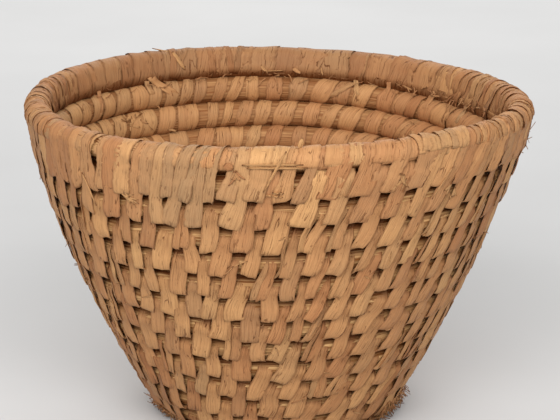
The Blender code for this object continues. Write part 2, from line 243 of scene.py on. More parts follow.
class Wall:
    """The basket's wall as its coil lies along it.

    A place is a distance along the meridian from the axis, an angle goes round the axis, and out is a
    distance from the coil's centre line towards the outside. The meridian runs along the base, round
    the foot corner and up the wall as three curves; each turn of the coil lies against the one below.
    """

    def __init__(self, shape):
        self.shape = shape
        self.trace_meridian()
        self.wind_coil()

    def trace_meridian(self):
        """The base is a straight line, the wall a quadratic curve, the corner another between them."""
        shape = self.shape
        floor = shape.floor_height
        foot = np.array([shape.foot_radius - floor, floor])
        top = np.array(shape.rim_place)
        lean = np.array([math.tan(shape.rim_lean), 1.0])
        belly = top - lean * (top[1] - floor) / 2
        wall = quadratic(foot, belly, top)
        joined = int(np.searchsorted(np.linalg.norm(wall - foot, axis=1), shape.corner_reach))
        slope = wall[joined + 1] - wall[joined]
        corner = wall[joined] - slope * (wall[joined][1] - floor) / slope[1]
        before = corner - np.array([shape.corner_reach, 0.0])
        rounded = quadratic(before, corner, wall[joined])[:-1]
        base = np.linspace([0.0, floor], before, MERIDIAN_STEPS)[:-1]
        beyond = top + lean / np.linalg.norm(lean) * RIM_OVERRUN
        line = np.concatenate([base, rounded, wall[joined:], beyond[None]])
        steps = np.linalg.norm(np.diff(line, axis=0), axis=1)
        self.along = np.concatenate([[0.0], np.cumsum(steps)])
        self.line = line
        up = np.gradient(line, self.along, axis=0)
        up /= np.linalg.norm(up, axis=1)[:, None]
        self.normal = np.column_stack([up[:, 1], -up[:, 0]])
        self.rim = self.along[-1] - RIM_OVERRUN
        self.hoop = self.rim - shape.hoop_drop
        self.seat = self.rim - shape.rim_core * FLAT

    def on_line(self, place, table):
        """Looks a place up in a table that follows the meridian."""
        return np.interp(place, self.along, table)

    def wind_coil(self):
        """Winds the coil turn by turn. The first turn swells from a tip and the last thins out level."""
        shape = self.shape
        pitch = 2 * shape.coil_radius + shape.coil_gap
        share_of_turn = np.arange(SECTIONS_PER_TURN) / SECTIONS_PER_TURN
        radii = np.maximum((pitch * share_of_turn - shape.coil_gap) / 2, shape.tip_radius / 2)
        places = shape.centre_hole + radii
        all_places, all_radii = [places], [radii]
        ended = False
        while not ended:
            room = self.seat - places - radii - shape.coil_gap
            new_radii = np.minimum(shape.coil_radius, room / (1 + FLAT))
            new_places = self.step(places, radii + shape.coil_gap + new_radii)
            kept = np.cumsum(new_radii < shape.tip_radius) == 0
            ended = not kept.all()
            all_places.append(new_places[kept])
            all_radii.append(new_radii[kept])
            places, radii = new_places, new_radii
        self.coil_places = np.concatenate(all_places)
        self.coil_radii = np.concatenate(all_radii)
        self.coil_turns = np.arange(len(self.coil_places)) / SECTIONS_PER_TURN
        self.last_turn = self.coil_turns[-1]
        heights = self.on_line(self.coil_places, self.line[:, 1])
        lifted = heights > shape.floor_height + shape.coil_radius / 2
        self.foot_turn = self.coil_turns[int(np.argmax(lifted))]
        self.pitch = pitch

    def step(self, places, distance):
        """Places that lie a straight distance further on: stepped along, then put right a few times."""
        found = places + distance
        for _ in range(PLACE_CORRECTIONS):
            reached = [self.on_line(found, part) - self.on_line(places, part) for part in self.line.T]
            found = found + distance - np.hypot(*reached)
        return found

    def place(self, turns):
        """Where the coil is after so many turns."""
        return np.interp(turns, self.coil_turns, self.coil_places)

    def coil(self, turns):
        """The coil's radius after so many turns."""
        return np.interp(turns, self.coil_turns, self.coil_radii)

    def radius(self, place):
        """Distance of a place on the meridian from the axis."""
        return self.on_line(place, self.line[:, 0])

    def up_wall(self, height):
        """The place where the meridian comes to a height above the floor."""
        return np.interp(height, self.line[:, 1], self.along)

    def lower_groove(self, turns):
        """The place of the groove under a turn of the coil, which is the rim's seat past the coil's end."""
        groove = self.place(turns) - self.coil(turns) - self.shape.coil_gap / 2
        return np.where(turns > self.last_turn, self.seat, groove)

    def upper_groove(self, turns):
        """The place of the groove over a turn, which is the rim's seat past the coil's end."""
        return np.minimum(self.lower_groove(turns + 1), self.seat)

    def angle(self, turns):
        """The angle round the axis after so many turns of the coil."""
        return 2 * math.pi * turns + self.shape.coil_start

    def at(self, place, turn_angle, out):
        """Points in space: the meridian's point, moved out along its normal, then turned about Z.

        Towards the rim, places are drawn up along the meridian, and further at the back. Three waves and
        a hump round the basket are added to the height there, and a shift to one side.
        """
        shape = self.shape
        near_rim = smooth((place - self.rim + RIM_FOLLOWS) / RIM_FOLLOWS)
        drawn = smooth((place - self.rim + DRAW_BEGINS) / DRAW_GROWS)
        drawn = drawn * (1 - smooth((place - self.seat + DRAW_FADES) / DRAW_FADES))
        drawn = drawn * bump_at(turn_angle, *DRAWN_UP)
        place = place + near_rim * shape.row_lift + drawn * shape.back_draw
        radius = self.on_line(place, self.line[:, 0]) + out * self.on_line(place, self.normal[:, 0])
        height = self.on_line(place, self.line[:, 1]) + out * self.on_line(place, self.normal[:, 1])
        wave = shape.rim_rise + shape.rim_hump * bump_at(turn_angle, *RIM_HUMP)
        for number in (1, 2, 3):
            cosine, sine = shape.rim_waves[2 * number - 2 : 2 * number]
            wave = wave + cosine * np.cos(number * turn_angle) + sine * np.sin(number * turn_angle)
        x = radius * np.cos(turn_angle) + near_rim**2 * shape.rim_shift
        z = pressed(height + near_rim * wave)
        return np.stack([x, radius * np.sin(turn_angle) + 0 * x, z], axis=-1)

    def down_inside(self, turn_angle, size, way):
        """Places and outs of wraps on the rim's inside, from the hoop's middle at way 0 to their ends at 1.

        They go a little under the hoop. Where the coil's last turn has thinned they go straight on down
        over it, to the groove below it, and only bend in at the end.
        """
        behind = (self.angle(self.last_turn) - turn_angle) / (2 * math.pi) % 1
        turns = self.last_turn - behind
        covered = smooth((THIN_COIL[1] - self.coil(turns)) / (THIN_COIL[1] - THIN_COIL[0]))
        slack = SLACK + SLACK_SWING * np.sin(SLACK_RATE * turn_angle)
        hang = slack * size * TUCK * (1 - covered) + (self.hoop - self.lower_groove(turns)) * covered
        drawn = DRAWN_UNDER * way ** (DRAWN_POWER + COVER_POWER * covered)
        return self.hoop - hang * way, -size * (1 - drawn)

    def row_bounds(self):
        """Turns where each row of strips starts and ends: base rows, and wall rows below the rim's."""
        base = np.linspace(0.0, self.foot_turn, BASE_ROWS + 1)
        wall_end = self.last_turn - RIM_TURNS - ROW_STOP
        return base, np.linspace(self.foot_turn, wall_end, WALL_ROWS - RIM_TURNS + 1)


def quadratic(start, control, end):
    """A quadratic curve through start and end, pulled towards control."""
    t = np.linspace(0, 1, MERIDIAN_STEPS)[:, None]
    return (1 - t) ** 2 * start + 2 * t * (1 - t) * control + t**2 * end


def pressed(height):
    """Heights near the floor, squeezed by an exponential so that nothing comes to lie below it."""
    room = np.minimum(height / FLOOR_ROOM, 1.0) - 1
    return np.where(height < FLOOR_ROOM, FLOOR_ROOM * np.exp(room), height)


def smooth(value):
    """A step from 0 to 1 that starts and ends level."""
    value = np.clip(value, 0.0, 1.0)
    return value * value * (3 - 2 * value)


class Stitches:
    """Where the stitches go: each between two of the turn below, with the lean added.

    Where a gap has grown wide, two stitches go into it instead of one, as a maker widens a basket.
    A strip runs up from its stitch, between the two stitches above, to the one above those.
    """

    FIRST_TURN = 0.9
    FIRST_COUNT = 6
    WIDE_GAP = 1.40  # a gap that takes two stitches, as a share of the spacing
    PAIR = (0.33, 0.67)  # where those two go
    STRAY = 0.08  # how far a stitch strays, as a share of its gap
    STRAY_STEP = 0.618  # step from one stitch's stray to the next one's, as a share of their range
    SPARE_TURNS = 3.2  # turns worked out past the coil's end, which strips lead up to
    LAST_TURNS = 1.0  # turns past the coil's end whose stitches are kept

    def __init__(self, wall, style):
        turns = list(self.FIRST_TURN + np.arange(self.FIRST_COUNT + 1) / (self.FIRST_COUNT + 0.5))
        first, last = [], []
        while turns[-1] < wall.last_turn + self.SPARE_TURNS:
            start, end = turns[len(first)], turns[len(first) + 1]
            around = 2 * math.pi * float(wall.radius(wall.place(end + 1)))
            climb = math.tan(lean_at(style, wall.angle(end))) * wall.pitch / around
            wide = (end - start) * around > self.WIDE_GAP * style.spacing
            first.append(len(turns))
            for share_of_gap in self.PAIR if wide else (0.5,):
                stray = self.STRAY * (2 * (len(turns) * self.STRAY_STEP % 1) - 1)
                turns.append(start + 1 + climb + (end - start) * (share_of_gap + stray))
            last.append(len(turns) - 1)
        turns, first, last = np.array(turns), np.array(first), np.array(last)
        own = np.arange(1, np.argmax(turns > wall.last_turn + self.LAST_TURNS))
        left = last[own - 1]
        self.turns = turns[own]
        self.middles = (turns[left] + turns[left + 1]) / 2 - 1
        self.tops = (turns[first[left]] + turns[last[left]]) / 2 - 2
        around = 2 * math.pi * wall.radius(wall.place(self.turns))
        gaps = np.diff(turns)
        shared = np.ones(len(gaps))  # gaps that a strip from the turn below fills half of
        shared[first[last > first]] = 2.0
        self.low_widths = around * ((gaps * shared)[own - 1] + (gaps * shared)[own]) / 4
        self.top_widths = around * gaps[left] / 2

    def between(self, start, end):
        """The numbers of the stitches in a stretch of the coil."""
        return np.flatnonzero((self.turns >= start) & (self.turns < end))


def lean_at(style, turn_angle):
    """How far strips lean at an angle round the axis: a mean, and a swing towards one side."""
    return style.lean + style.lean_swing * np.cos(turn_angle - style.lean_most)


def ribbon_points(wall, path, half_width, heights, thickness, cut):
    """Carries a strip's section along paths on the wall, for many strips at once.

    A path has a place, an angle and an out for each of its steps. Across it lies the direction that is
    square to it in the wall's surface, and above it the one that is square to both. A section's points
    lie half_width times their share across, at their own height above. A cut shifts each of them along
    at the lower end, so that it isn't square. Returns strips x steps x points.
    """
    place, turn_angle, out = path
    radius = wall.radius(place) + 0 * out
    along, lift = np.gradient(place, axis=1), np.gradient(out, axis=1)
    rise = np.hypot(along, lift) + TINY
    round_it = radius * np.gradient(turn_angle, axis=1)
    size = np.hypot(rise, round_it)
    up = (along / rise)[..., None], (lift / rise)[..., None]
    shares = np.concatenate([UPPER_SHARES, LOWER_SHARES])
    above = with_underside(heights, thickness)
    across = half_width[..., None] * shares
    slip = across * (round_it / size)[..., None]
    run = np.linspace(0, 1, place.shape[1])[None, :, None]
    skew = with_underside(cut, 0.0) * (1 - smooth(run / CUT_FADE))
    places = place[..., None] + skew - slip * up[0] - above * up[1]
    outs = out[..., None] - slip * up[1] + above * up[0]
    angles = turn_angle[..., None] + across * (rise / size / radius)[..., None]
    return wall.at(places, angles, outs)


def with_underside(values, thickness):
    """Values at a section's upper points, and those under its lower ones less the thickness."""
    lower = np.interp(LOWER_SHARES, UPPER_SHARES, np.arange(len(UPPER_SHARES)))
    left = np.floor(lower).astype(int)
    mix = lower - left
    under = values[..., left] * (1 - mix) + values[..., left + 1] * mix - thickness
    return np.concatenate([values, under], axis=-1)


def ribbon_faces(strips, steps, points):
    """Quads between neighbouring sections of each strip, and a cap at each of its ends."""
    corner = np.arange(strips * steps * points).reshape(strips, steps, points)
    following = np.roll(corner, -1, axis=2)
    quads = np.stack([corner[:, :-1], following[:, :-1], following[:, 1:], corner[:, 1:]], axis=-1)
    return quads.reshape(-1, 4), np.concatenate([corner[:, 0, ::-1], corner[:, -1]])


def mesh_object(name, points, quads, caps, material, sharp_degrees=70):
    """An object from arrays of corners, quads and end caps, shaded smooth but for its sharp edges."""
    mesh = bpy.data.meshes.new(name)
    mesh.from_pydata(points.reshape(-1, 3), [], quads.tolist() + caps.tolist())
    mesh.shade_smooth()
    mesh.set_sharp_from_angle(angle=math.radians(sharp_degrees))
    mesh.materials.append(material)
    obj = bpy.data.objects.new(name, mesh)
    bpy.context.scene.collection.objects.link(obj)
    return obj


def add_values(obj, name, values):
    """Stores one number, or one triple, for each corner of a mesh."""
    values = np.asarray(values, dtype=np.float32)
    kind, field = ("FLOAT_VECTOR", "vector") if values.ndim == 2 else ("FLOAT", "value")
    obj.data.attributes.new(name, kind, "POINT").data.foreach_set(field, values.ravel())


def ribbons(name, wall, path, half_width, heights, thickness, tones, material, cut=SQUARE_CUT, added_darkness=0.0):
    """One object of many strips.

    It carries three values that its material reads: grain, which is across, along and a strip's own
    number; tone, which is a strip's paleness, redness and greyness; and shade, which is painted shade
    where it turns in at its ends, plus whatever added darkness it is given.
    """
    points = ribbon_points(wall, path, half_width, heights, thickness, cut)
    strips, steps, count, _ = points.shape
    quads, caps = ribbon_faces(strips, steps, count)
    obj = mesh_object(name, points, quads, caps, material)
    middle = wall.at(*path)
    run = np.cumsum(np.linalg.norm(np.diff(middle, axis=1, prepend=middle[:, :1]), axis=2), axis=1)
    grain = np.empty(points.shape)
    grain[..., 0] = np.concatenate([UPPER_SHARES, LOWER_SHARES])
    grain[..., 1] = run[..., None]
    grain[..., 2] = np.arange(strips)[:, None, None] + sum(name.encode())
    add_values(obj, "grain", grain.reshape(-1, 3))
    add_values(obj, "tone", np.repeat(tones, steps * count, axis=0))
    # Painted shade: darker where the strip's ends turn in out of the light, plus the added darkness given
    reach = run / run[:, -1:]
    ends = np.maximum(1 - reach / LOWER_SHADE, (reach - (1 - UPPER_SHADE)) / UPPER_SHADE)
    shade = np.clip(END_SHADE * np.clip(ends, 0, 1) + added_darkness, 0, 1)[..., None]
    add_values(obj, "shade", np.broadcast_to(shade, points.shape[:3]).ravel())
    return obj


def settle(obj, slot, *nodes):
    """Makes a piece ride on the basket and hides the solids that it stands for."""
    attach(obj, BODY)
    if nodes:
        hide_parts(*nodes)


def strip_tones(rng, strips, tones, back=0.0):
    """A paleness, redness and greyness for each strip, spread about their means and shifted at the back."""
    means = [np.broadcast_to(mean + shift * back, strips) for mean, shift in zip(tones, BACK_TONES)]
    return np.clip(np.stack(means, axis=1) + rng.normal(0, 1, (strips, 3)) * TONE_SPREAD, 0, 1)


def bell(away, width):
    """1 at no distance away, falling off on both sides: the exponential of minus the distance squared."""
    return np.exp(-((away / width) ** 2))


def bump_at(angles, centre, width):
    """A bell round an angle about the axis. Its centre and width are in degrees."""
    return bell((np.degrees(angles) - centre + 180) % 360 - 180, width)


def ragged_edge(rng, strips, steps, spread):
    """A factor on the width of each strip at each step, spread about 1."""
    return 1 + spread * rng.normal(0, 1, (strips, steps))


def faded_lift(style, along, fades):
    """A strip's lift off the coil, which fades to a share of itself before a point along it."""
    return style.lift * (LIFT_LEFT + (1 - LIFT_LEFT) * smooth((fades[0] - along) / fades[1]))


def listed(rows, field):
    """What each row of a table says in one of its fields, as an array with a row for each."""
    return np.array([np.atleast_1d(getattr(row, field)) for row in rows])


def by_strip(groups, field):
    """What each group of strips says in a field, with a row for each of its strips."""
    return np.repeat(listed(groups, field), [group.count for group in groups], axis=0)


def draw_from(rng, groups, field):
    """A random draw for each strip from the range that its group gives in a field."""
    low, high = np.hsplit(by_strip(groups, field), 2)
    return rng.uniform(low, high)


# How a strip lies over its width
CROWN_RANGE = (0.4, 1.3)  # factors on its crown
ROLL_LOW = 0.6  # factor on its roll at the lower end
ROLL_GROWS = 0.8  # what is added to that by the upper end
FOLD_REACH = 0.5  # how far from the middle a crease may lie, as a share of the half width
CREASE_DEPTH = 1.1  # as a factor on the crown
CREASE_RATE = 2.6  # how steeply a crease rises to both sides
RIPPLE = 0.0002  # height of its ripples
RIPPLES = (1, 3)  # how many there are to a strip
SURFACE_RAGGED = 0.00018  # spread of its unevenness


def crowned(rng, strips, steps, crown, roll):
    """Heights over a strip's width: a crown, a roll to one side, a crease, a slow ripple and raggedness."""
    u = UPPER_SHARES[None, None, :]
    t = np.linspace(0, 1, steps)[None, :, None]
    one = (strips, 1, 1)
    top = crown * rng.uniform(*CROWN_RANGE, one) * (1 - u**2)
    tilt = roll * rng.normal(0, 1, one) * u * (ROLL_LOW + ROLL_GROWS * t)
    fold = rng.uniform(-FOLD_REACH, FOLD_REACH, one)
    depth = -CREASE_DEPTH * crown * rng.uniform(0, 1, one)
    crease = depth * np.maximum(0, 1 - CREASE_RATE * np.abs(u - fold))
    waves = t * rng.uniform(*RIPPLES, one) + rng.uniform(0, 1, one)
    ripple = RIPPLE * np.sin(2 * math.pi * waves + 2 * u)
    ragged = SURFACE_RAGGED * rng.normal(0, 1, (strips, steps, len(UPPER_SHARES)))
    return top + tilt + crease + ripple + ragged


def slanted(rng, strips):
    """How far each point of a strip's lower end is shifted along: a slant, and a little raggedness."""
    ragged = rng.normal(0, SLANT_RAGGED, (strips, 1, len(UPPER_SHARES)))
    return SLANT * rng.normal(0, 1, (strips, 1, 1)) * UPPER_SHARES + ragged


# The sides of a strip: ranges of shares of its length and of its width
WIDEST_AT = (0.06, 0.45)
LOW_CORNER = (0.74, 1.04)
HIGH_CORNER = (0.50, 0.95)
EVEN_STRETCH = (0.0, 0.15)  # length past the widest point before it narrows


def leaf_edge(rng, strips, t):
    """One side of a cut strip: straight out from its lower corner to its widest, then straight in."""
    one = (strips, 1)
    widest = rng.uniform(*WIDEST_AT, one)
    low = rng.uniform(*LOW_CORNER, one)
    high = rng.uniform(*HIGH_CORNER, one)
    falling = widest + rng.uniform(*EVEN_STRETCH, one)
    flank = low + (1 - low) * np.clip(t / widest, 0, 1)
    return flank * (1 - (1 - high) * np.clip((t - falling) / (1 - falling), 0, 1))


# How the outer strips vary. A range is of factors on what their style says
OUTER_TONES = (0.38, 0.34, 0.06)
SLIT_RANGE = (0.35, 1.65)
LIFT_RANGE = (0.5, 1.5)
DIVE_RANGE = (0.8, 1.1)
WIDTH_RANGE = (1.06, 1.42)  # factors on the room between the stitches
EDGE_RAGGED = 0.02  # spread of a strip's width from step to step, as a share
STRIP_ROLL = 0.00055  # spread of how far its edges roll up or down
BOW = 0.0009  # spread of how far it bows to one side
WRIGGLE = 0.0007  # and to one side and then to the other
LIFT_FADES = (0.85, 0.7)  # share of a strip's length at which its lift has faded, and over what share
GROOVE_WIDTH = 0.12  # of the dip half way up, as a share of a strip's length
UNEVEN_SPLIT = 0.12  # how far from the middle a split strip is split, as a share of its width
SPLIT_APART = 0.85  # how far its parts lie from its middle, as a share of their half widths
UNDERLAP_SHADE = 0.26  # painted shade on its upper part, where it lies under the strips above
UNDERLAP = (0.40, 0.35)  # where along it that begins, and over what share it grows


def outer_strips(name, wall, style, rng, stitches, chosen, material):
    """A row of strips sewn over two turns, from one groove up to the next but one.

    A strip's place goes evenly from its lower end to its upper one, and its angle along a curve from
    its own stitch, between the two above, to the one above those. Its height is the coil's, with a lift
    that fades upwards, less a dip over the groove between the turns and a dive at both ends. Some strips
    are split in two.
    """
    split = rng.uniform(0, 1, len(chosen)) < style.split_share
    chosen = np.concatenate([chosen, chosen[split]])
    side = np.concatenate([np.where(split, -1.0, 0.0), np.ones(split.sum())])[:, None]
    turns = stitches.turns[chosen][:, None]
    strips, steps = len(chosen), len(STRIP_STATIONS)
    one = (strips, 1)
    t = STRIP_STATIONS[None, :]
    foot = wall.lower_groove(turns)
    low = foot + style.slit * rng.uniform(*SLIT_RANGE, one)
    top_turns = stitches.tops[chosen][:, None]
    high = wall.upper_groove(top_turns + 1) - TOP_ROOM
    place = low + (high - low) * t
    way = (place - foot) / (high - foot)
    start, end = wall.angle(turns), wall.angle(top_turns)
    bend = wall.angle(stitches.middles[chosen][:, None]) - (start + end) / 2
    radius = wall.radius(place)
    bow = rng.normal(0, BOW, one) * np.sin(math.pi * t)
    wriggle = rng.normal(0, WRIGGLE, one) * np.sin(2 * math.pi * t)
    turn_angle = start + (end - start) * way + bend * 4 * way * (1 - way) + (bow + wriggle) / radius
    dip = style.groove_dip * bell(way - 0.5, GROOVE_WIDTH)
    lower_end = style.end_dive * np.interp(t, DIVE_STATIONS, DIVE_DEPTHS)
    upper_end = style.end_dive * (1 - smooth((1 - t) / UPPER_DIVE)) * rng.uniform(*DIVE_RANGE, one)
    lift = faded_lift(style, t, LIFT_FADES) * rng.uniform(*LIFT_RANGE, one)
    out = wall.coil(turns) + lift - dip - lower_end - upper_end
    left, right = leaf_edge(rng, strips, t), leaf_edge(rng, strips, t)
    widths = stitches.low_widths[chosen][:, None] * (1 - way) + stitches.top_widths[chosen][:, None] * way
    full = 0.5 * widths * rng.uniform(*WIDTH_RANGE, one)
    half_width = full * (left + right) / 2 * ragged_edge(rng, strips, steps, EDGE_RAGGED)
    half_width = np.where(side == 0, 1.0, 0.5 + UNEVEN_SPLIT * side) * half_width
    turn_angle = turn_angle + (full * (right - left) / 2 + SPLIT_APART * side * half_width) / radius
    heights = crowned(rng, strips, steps, style.crown, STRIP_ROLL)
    cut = slanted(rng, strips)
    path = (place, turn_angle, out)
    tones = strip_tones(rng, strips, OUTER_TONES)
    # Painted shade on the upper part, under the strips above
    added_darkness = UNDERLAP_SHADE * smooth((way - UNDERLAP[0]) / UNDERLAP[1])
    return ribbons(name, wall, path, half_width, heights, style.thickness, tones, material, cut, added_darkness)


# Strips that run on over the rim: their sections on the outside, over it and inside, then their sizes
CLIMB_STATIONS = np.concatenate([[0, 0.008, 0.024, 0.06], np.linspace(0.13, 0.97, 13)])
OVER_STATIONS = np.linspace(0.0, 1.0, 9)
INSIDE_STATIONS = np.linspace(0.2, 1.0, 5)
OVERCAST_LIFT = (-0.0002, 0.0007)  # what is added to the rim wrap's radius
OVERCAST_SINK = 0.0012  # how much deeper they lie under other wraps
OVERCAST_TONES = (0.28, 0.30, 0.12)
FRONT_GREY = 0.75  # what is added to their greyness where they are weathered
OVERCAST_LIFT_RANGE = (0.4, 1.7)  # factors on their lift
OVERCAST_LIFT_FADES = (1.5, 1.2)  # rows up at which their lift has faded, and over how many
OVERCAST_GROOVE = 0.2  # width of the dip over a groove, in rows
OVERCAST_WIDTH_RANGE = (1.0, 1.6)  # factors on their width
OVERCAST_RAGGED = 0.04
OVERCAST_ROLL = 0.0006
SEAT_SINK = 0.0045  # how far those under the short wraps sink at the rim's seat
SINK_BELOW = 0.0040  # how far below the hoop's middle they are deepest
SINK_WIDTH = 0.0035
DRAW_IN = 0.008  # how far below the rim's seat they begin to be drawn in to the hoop
LEAN_SPREAD = math.radians(4)
WIDTH_CHANGE = (0.6, 1.2)  # rows up between which they take on the width between the stitches above
CUT_IN = 0.35  # most that a lower end is narrowed by, as a share
CUT_IN_ROWS = 0.35  # rows up where it has its whole width
SHADE_FROM = 3  # step of their bend from which the rim is darker at the back


def overcast_strips(name, wall, style, rng, stitches, chosen, under, material):
    """Strips that run on over the rim: up the outside, round the hoop as an arc and down its inside.

    For the first turn's height they keep between the stitches above, then go on at their own lean. They
    lie on the coil, dip a little over the first groove, and are drawn in to the hoop's size at its middle.
    Those marked under sink at the rim's seat and pass beneath the short wraps there. At the back they
    lie deeper on the rim, under its broad wraps.
    """
    turns = stitches.turns[chosen][:, None]
    strips = len(chosen)
    one = (strips, 1)
    under = under[:, None]
    start = wall.angle(turns)
    back = bump_at(start, *DARK_BACK)
    size = style.rim_wrap + rng.uniform(*OVERCAST_LIFT, one) - OVERCAST_SINK * np.maximum(under, back)
    foot = wall.lower_groove(turns)
    low = foot + style.slit * rng.uniform(*SLIT_RANGE, one)
    climb = low + (wall.hoop - low) * CLIMB_STATIONS[None, :]
    bend = math.pi * OVER_STATIONS[None, :]
    hung, hung_out = wall.down_inside(start, size, INSIDE_STATIONS[None, :])
    place = np.concatenate([climb, wall.hoop + size * np.sin(bend), hung], axis=1)
    steps = place.shape[1]
    over = wall.hoop - foot + size * bend
    run = np.concatenate([climb - foot, over, over[:, -1:] + wall.hoop - hung], axis=1)
    rows_up = run / wall.pitch
    lower_end = style.end_dive * np.interp(run - (low - foot), DIVE_RUN, DIVE_DEPTHS)
    lift = faded_lift(style, rows_up, OVERCAST_LIFT_FADES) * rng.uniform(*OVERCAST_LIFT_RANGE, one)
    dip = style.groove_dip * bell(rows_up - 1.0, OVERCAST_GROOVE)
    seat_dip = SEAT_SINK * under * bell(climb - wall.hoop + SINK_BELOW, SINK_WIDTH)
    level = (wall.shape.coil_radius + lift - dip)[:, : CLIMB_STATIONS.size]
    onto_hoop = smooth((climb - wall.seat + DRAW_IN) / (wall.hoop - wall.seat + DRAW_IN))
    on_wall = level * (1 - onto_hoop) + size * onto_hoop - seat_dip
    out = np.concatenate([on_wall, size * np.cos(bend), hung_out], axis=1) - lower_end
    to_middle = wall.angle(stitches.middles[chosen][:, None]) - start
    lean = lean_at(style, start) + rng.normal(0, LEAN_SPREAD, one)
    leaning = np.tan(lean) * np.maximum(run - wall.pitch, 0.0) / wall.radius(wall.rim)
    turn_angle = start + to_middle * np.minimum(rows_up, 1.0) + leaning
    own = stitches.low_widths[chosen][:, None]
    crossing = stitches.top_widths[chosen][:, None]
    widths = np.interp(rows_up, WIDTH_CHANGE, [0.0, 1.0]) * (crossing - own) + own
    cut_in = 1.0 - rng.uniform(0.0, CUT_IN, one) * smooth((CUT_IN_ROWS - rows_up) / CUT_IN_ROWS)
    edge = ragged_edge(rng, strips, steps, OVERCAST_RAGGED)
    half_width = 0.5 * widths * rng.uniform(*OVERCAST_WIDTH_RANGE, one) * cut_in * edge
    heights = crowned(rng, strips, steps, style.crown, OVERCAST_ROLL)
    pale, red, grey = OVERCAST_TONES
    grey = grey + FRONT_GREY * bump_at(start[:, 0], *GREY_FRONT)
    tones = strip_tones(rng, strips, (pale, red, grey), back[:, 0])
    cut = slanted(rng, strips)
    path = (place, turn_angle, out)
    added_darkness = BACK_SHADE * back * (np.arange(steps) >= CLIMB_STATIONS.size + SHADE_FROM)
    return ribbons(name, wall, path, half_width, heights, style.thickness, tones, material, cut, added_darkness)


# Stitches on the inside
INNER_STEPS = 9
INNER_ARC = (0.03, 0.97)  # stretch of a half turn round the coil that a stitch takes
INNER_LIFT = (0.0005, 0.0010)
INNER_LEAN = -9  # degrees
INNER_LEAN_SPREAD = 7
RIGHT_LEAN = -30  # what is added to their lean at the right
INNER_NARROWS = 0.25  # share of their width that is lost towards their ends
SIDE_BREADTH = 0.42  # share that is added at the left and right
INNER_WIDTH_RANGE = (1.10, 1.65)
INNER_RAGGED = 0.05
INNER_CROWN = 0.0004
INNER_ROLL = 0.0002
INNER_TONES = (0.22, 0.28, 0.10)
# Paler at the left: partly the strips' own tone, partly painted light where that side of the inside lies in
# shade
LEFT_TONES = (0.75, -0.28)  # what is added to paleness and redness at the left
RIGHT_TONES = (-0.20, 0.30)


def inner_stitches(name, wall, style, rng, stitches, material):
    """Short wraps that the stitches show on the inside, each half round its turn of the coil.

    A wrap's place goes with the cosine of its bend and its out with the sine. It leans, most at the
    right, narrows with the square of the cosine, and is broader at the left and right.
    """
    kept = (wall.coil(stitches.turns) > sum(THIN_COIL) / 2) | (stitches.turns < wall.foot_turn)
    turns = stitches.turns[kept][:, None]
    strips = len(turns)
    one = (strips, 1)
    bend = math.pi * np.linspace(*INNER_ARC, INNER_STEPS)[None, :]
    size = wall.coil(turns) + rng.uniform(*INNER_LIFT, one)
    place = wall.place(turns) + size * np.cos(bend)
    out = -size * np.sin(bend)
    right = bump_at(wall.angle(turns), *INNER_RIGHT)
    left = bump_at(wall.angle(turns), *INNER_LEFT)
    lean = np.radians(INNER_LEAN + RIGHT_LEAN * right + rng.normal(0, INNER_LEAN_SPREAD, one))
    across = -np.tan(lean) * size * (bend - math.pi / 2)
    turn_angle = wall.angle(turns) + across / wall.radius(wall.place(turns))
    breadth = (1 - INNER_NARROWS * np.abs(np.cos(bend)) ** 2) * (1 + SIDE_BREADTH * np.maximum(left, right))
    widths = stitches.low_widths[kept][:, None]
    half_width = 0.5 * widths * rng.uniform(*INNER_WIDTH_RANGE, one) * breadth
    half_width = half_width * ragged_edge(rng, strips, INNER_STEPS, INNER_RAGGED)
    heights = crowned(rng, strips, INNER_STEPS, INNER_CROWN, INNER_ROLL)
    pale, red, grey = INNER_TONES
    # Paler at the left: own tone in part, painted light in part
    pale = pale + LEFT_TONES[0] * left + RIGHT_TONES[0] * right
    red = red + LEFT_TONES[1] * left + RIGHT_TONES[1] * right
    tones = strip_tones(rng, strips, (pale[:, 0], red[:, 0], grey))
    path = (place, turn_angle, out)
    return ribbons(name, wall, path, half_width, heights, style.thickness, tones, material)


# Ties on the inside: places along them are counted in turns down from their own
TIE_SHARE = 0.14  # share of the stitches that have a tie beside them
TIE_STEPS = 11
TIE_TONES = (0.40, 0.28, 0.10)
UPMOST_TURNS = 1.85  # length of coil that lies next to the rim on the inside
UPMOST_TIES = 2  # factor on the share next to the rim
UPMOST_RAISE = 0.75  # how much higher ties are there
FIRST_TIED = 2  # turns above the foot where ties begin
TIE_BELOW_RIM = 0.002  # how far below the hoop's middle they begin at the highest
TIE_BEGINS = (-0.30, 0.25)
TIE_ENDS = (0.80, 1.25)
TIE_GROOVE = 0.25
TIE_LIFT = 0.0014
TIE_SINK = 0.0034  # at the groove
TIE_DIVE = 0.0070  # at the ends
TIE_DIVE_STATIONS = (0, 0.14, 0.86, 1)
TIE_SLANT = 26  # spread, in degrees
TIE_BOW = 0.0012
TIE_RAGGED = 0.06
TIE_BREADTH = (0.0030, 0.0075)
TIE_ROLL = 0.0003


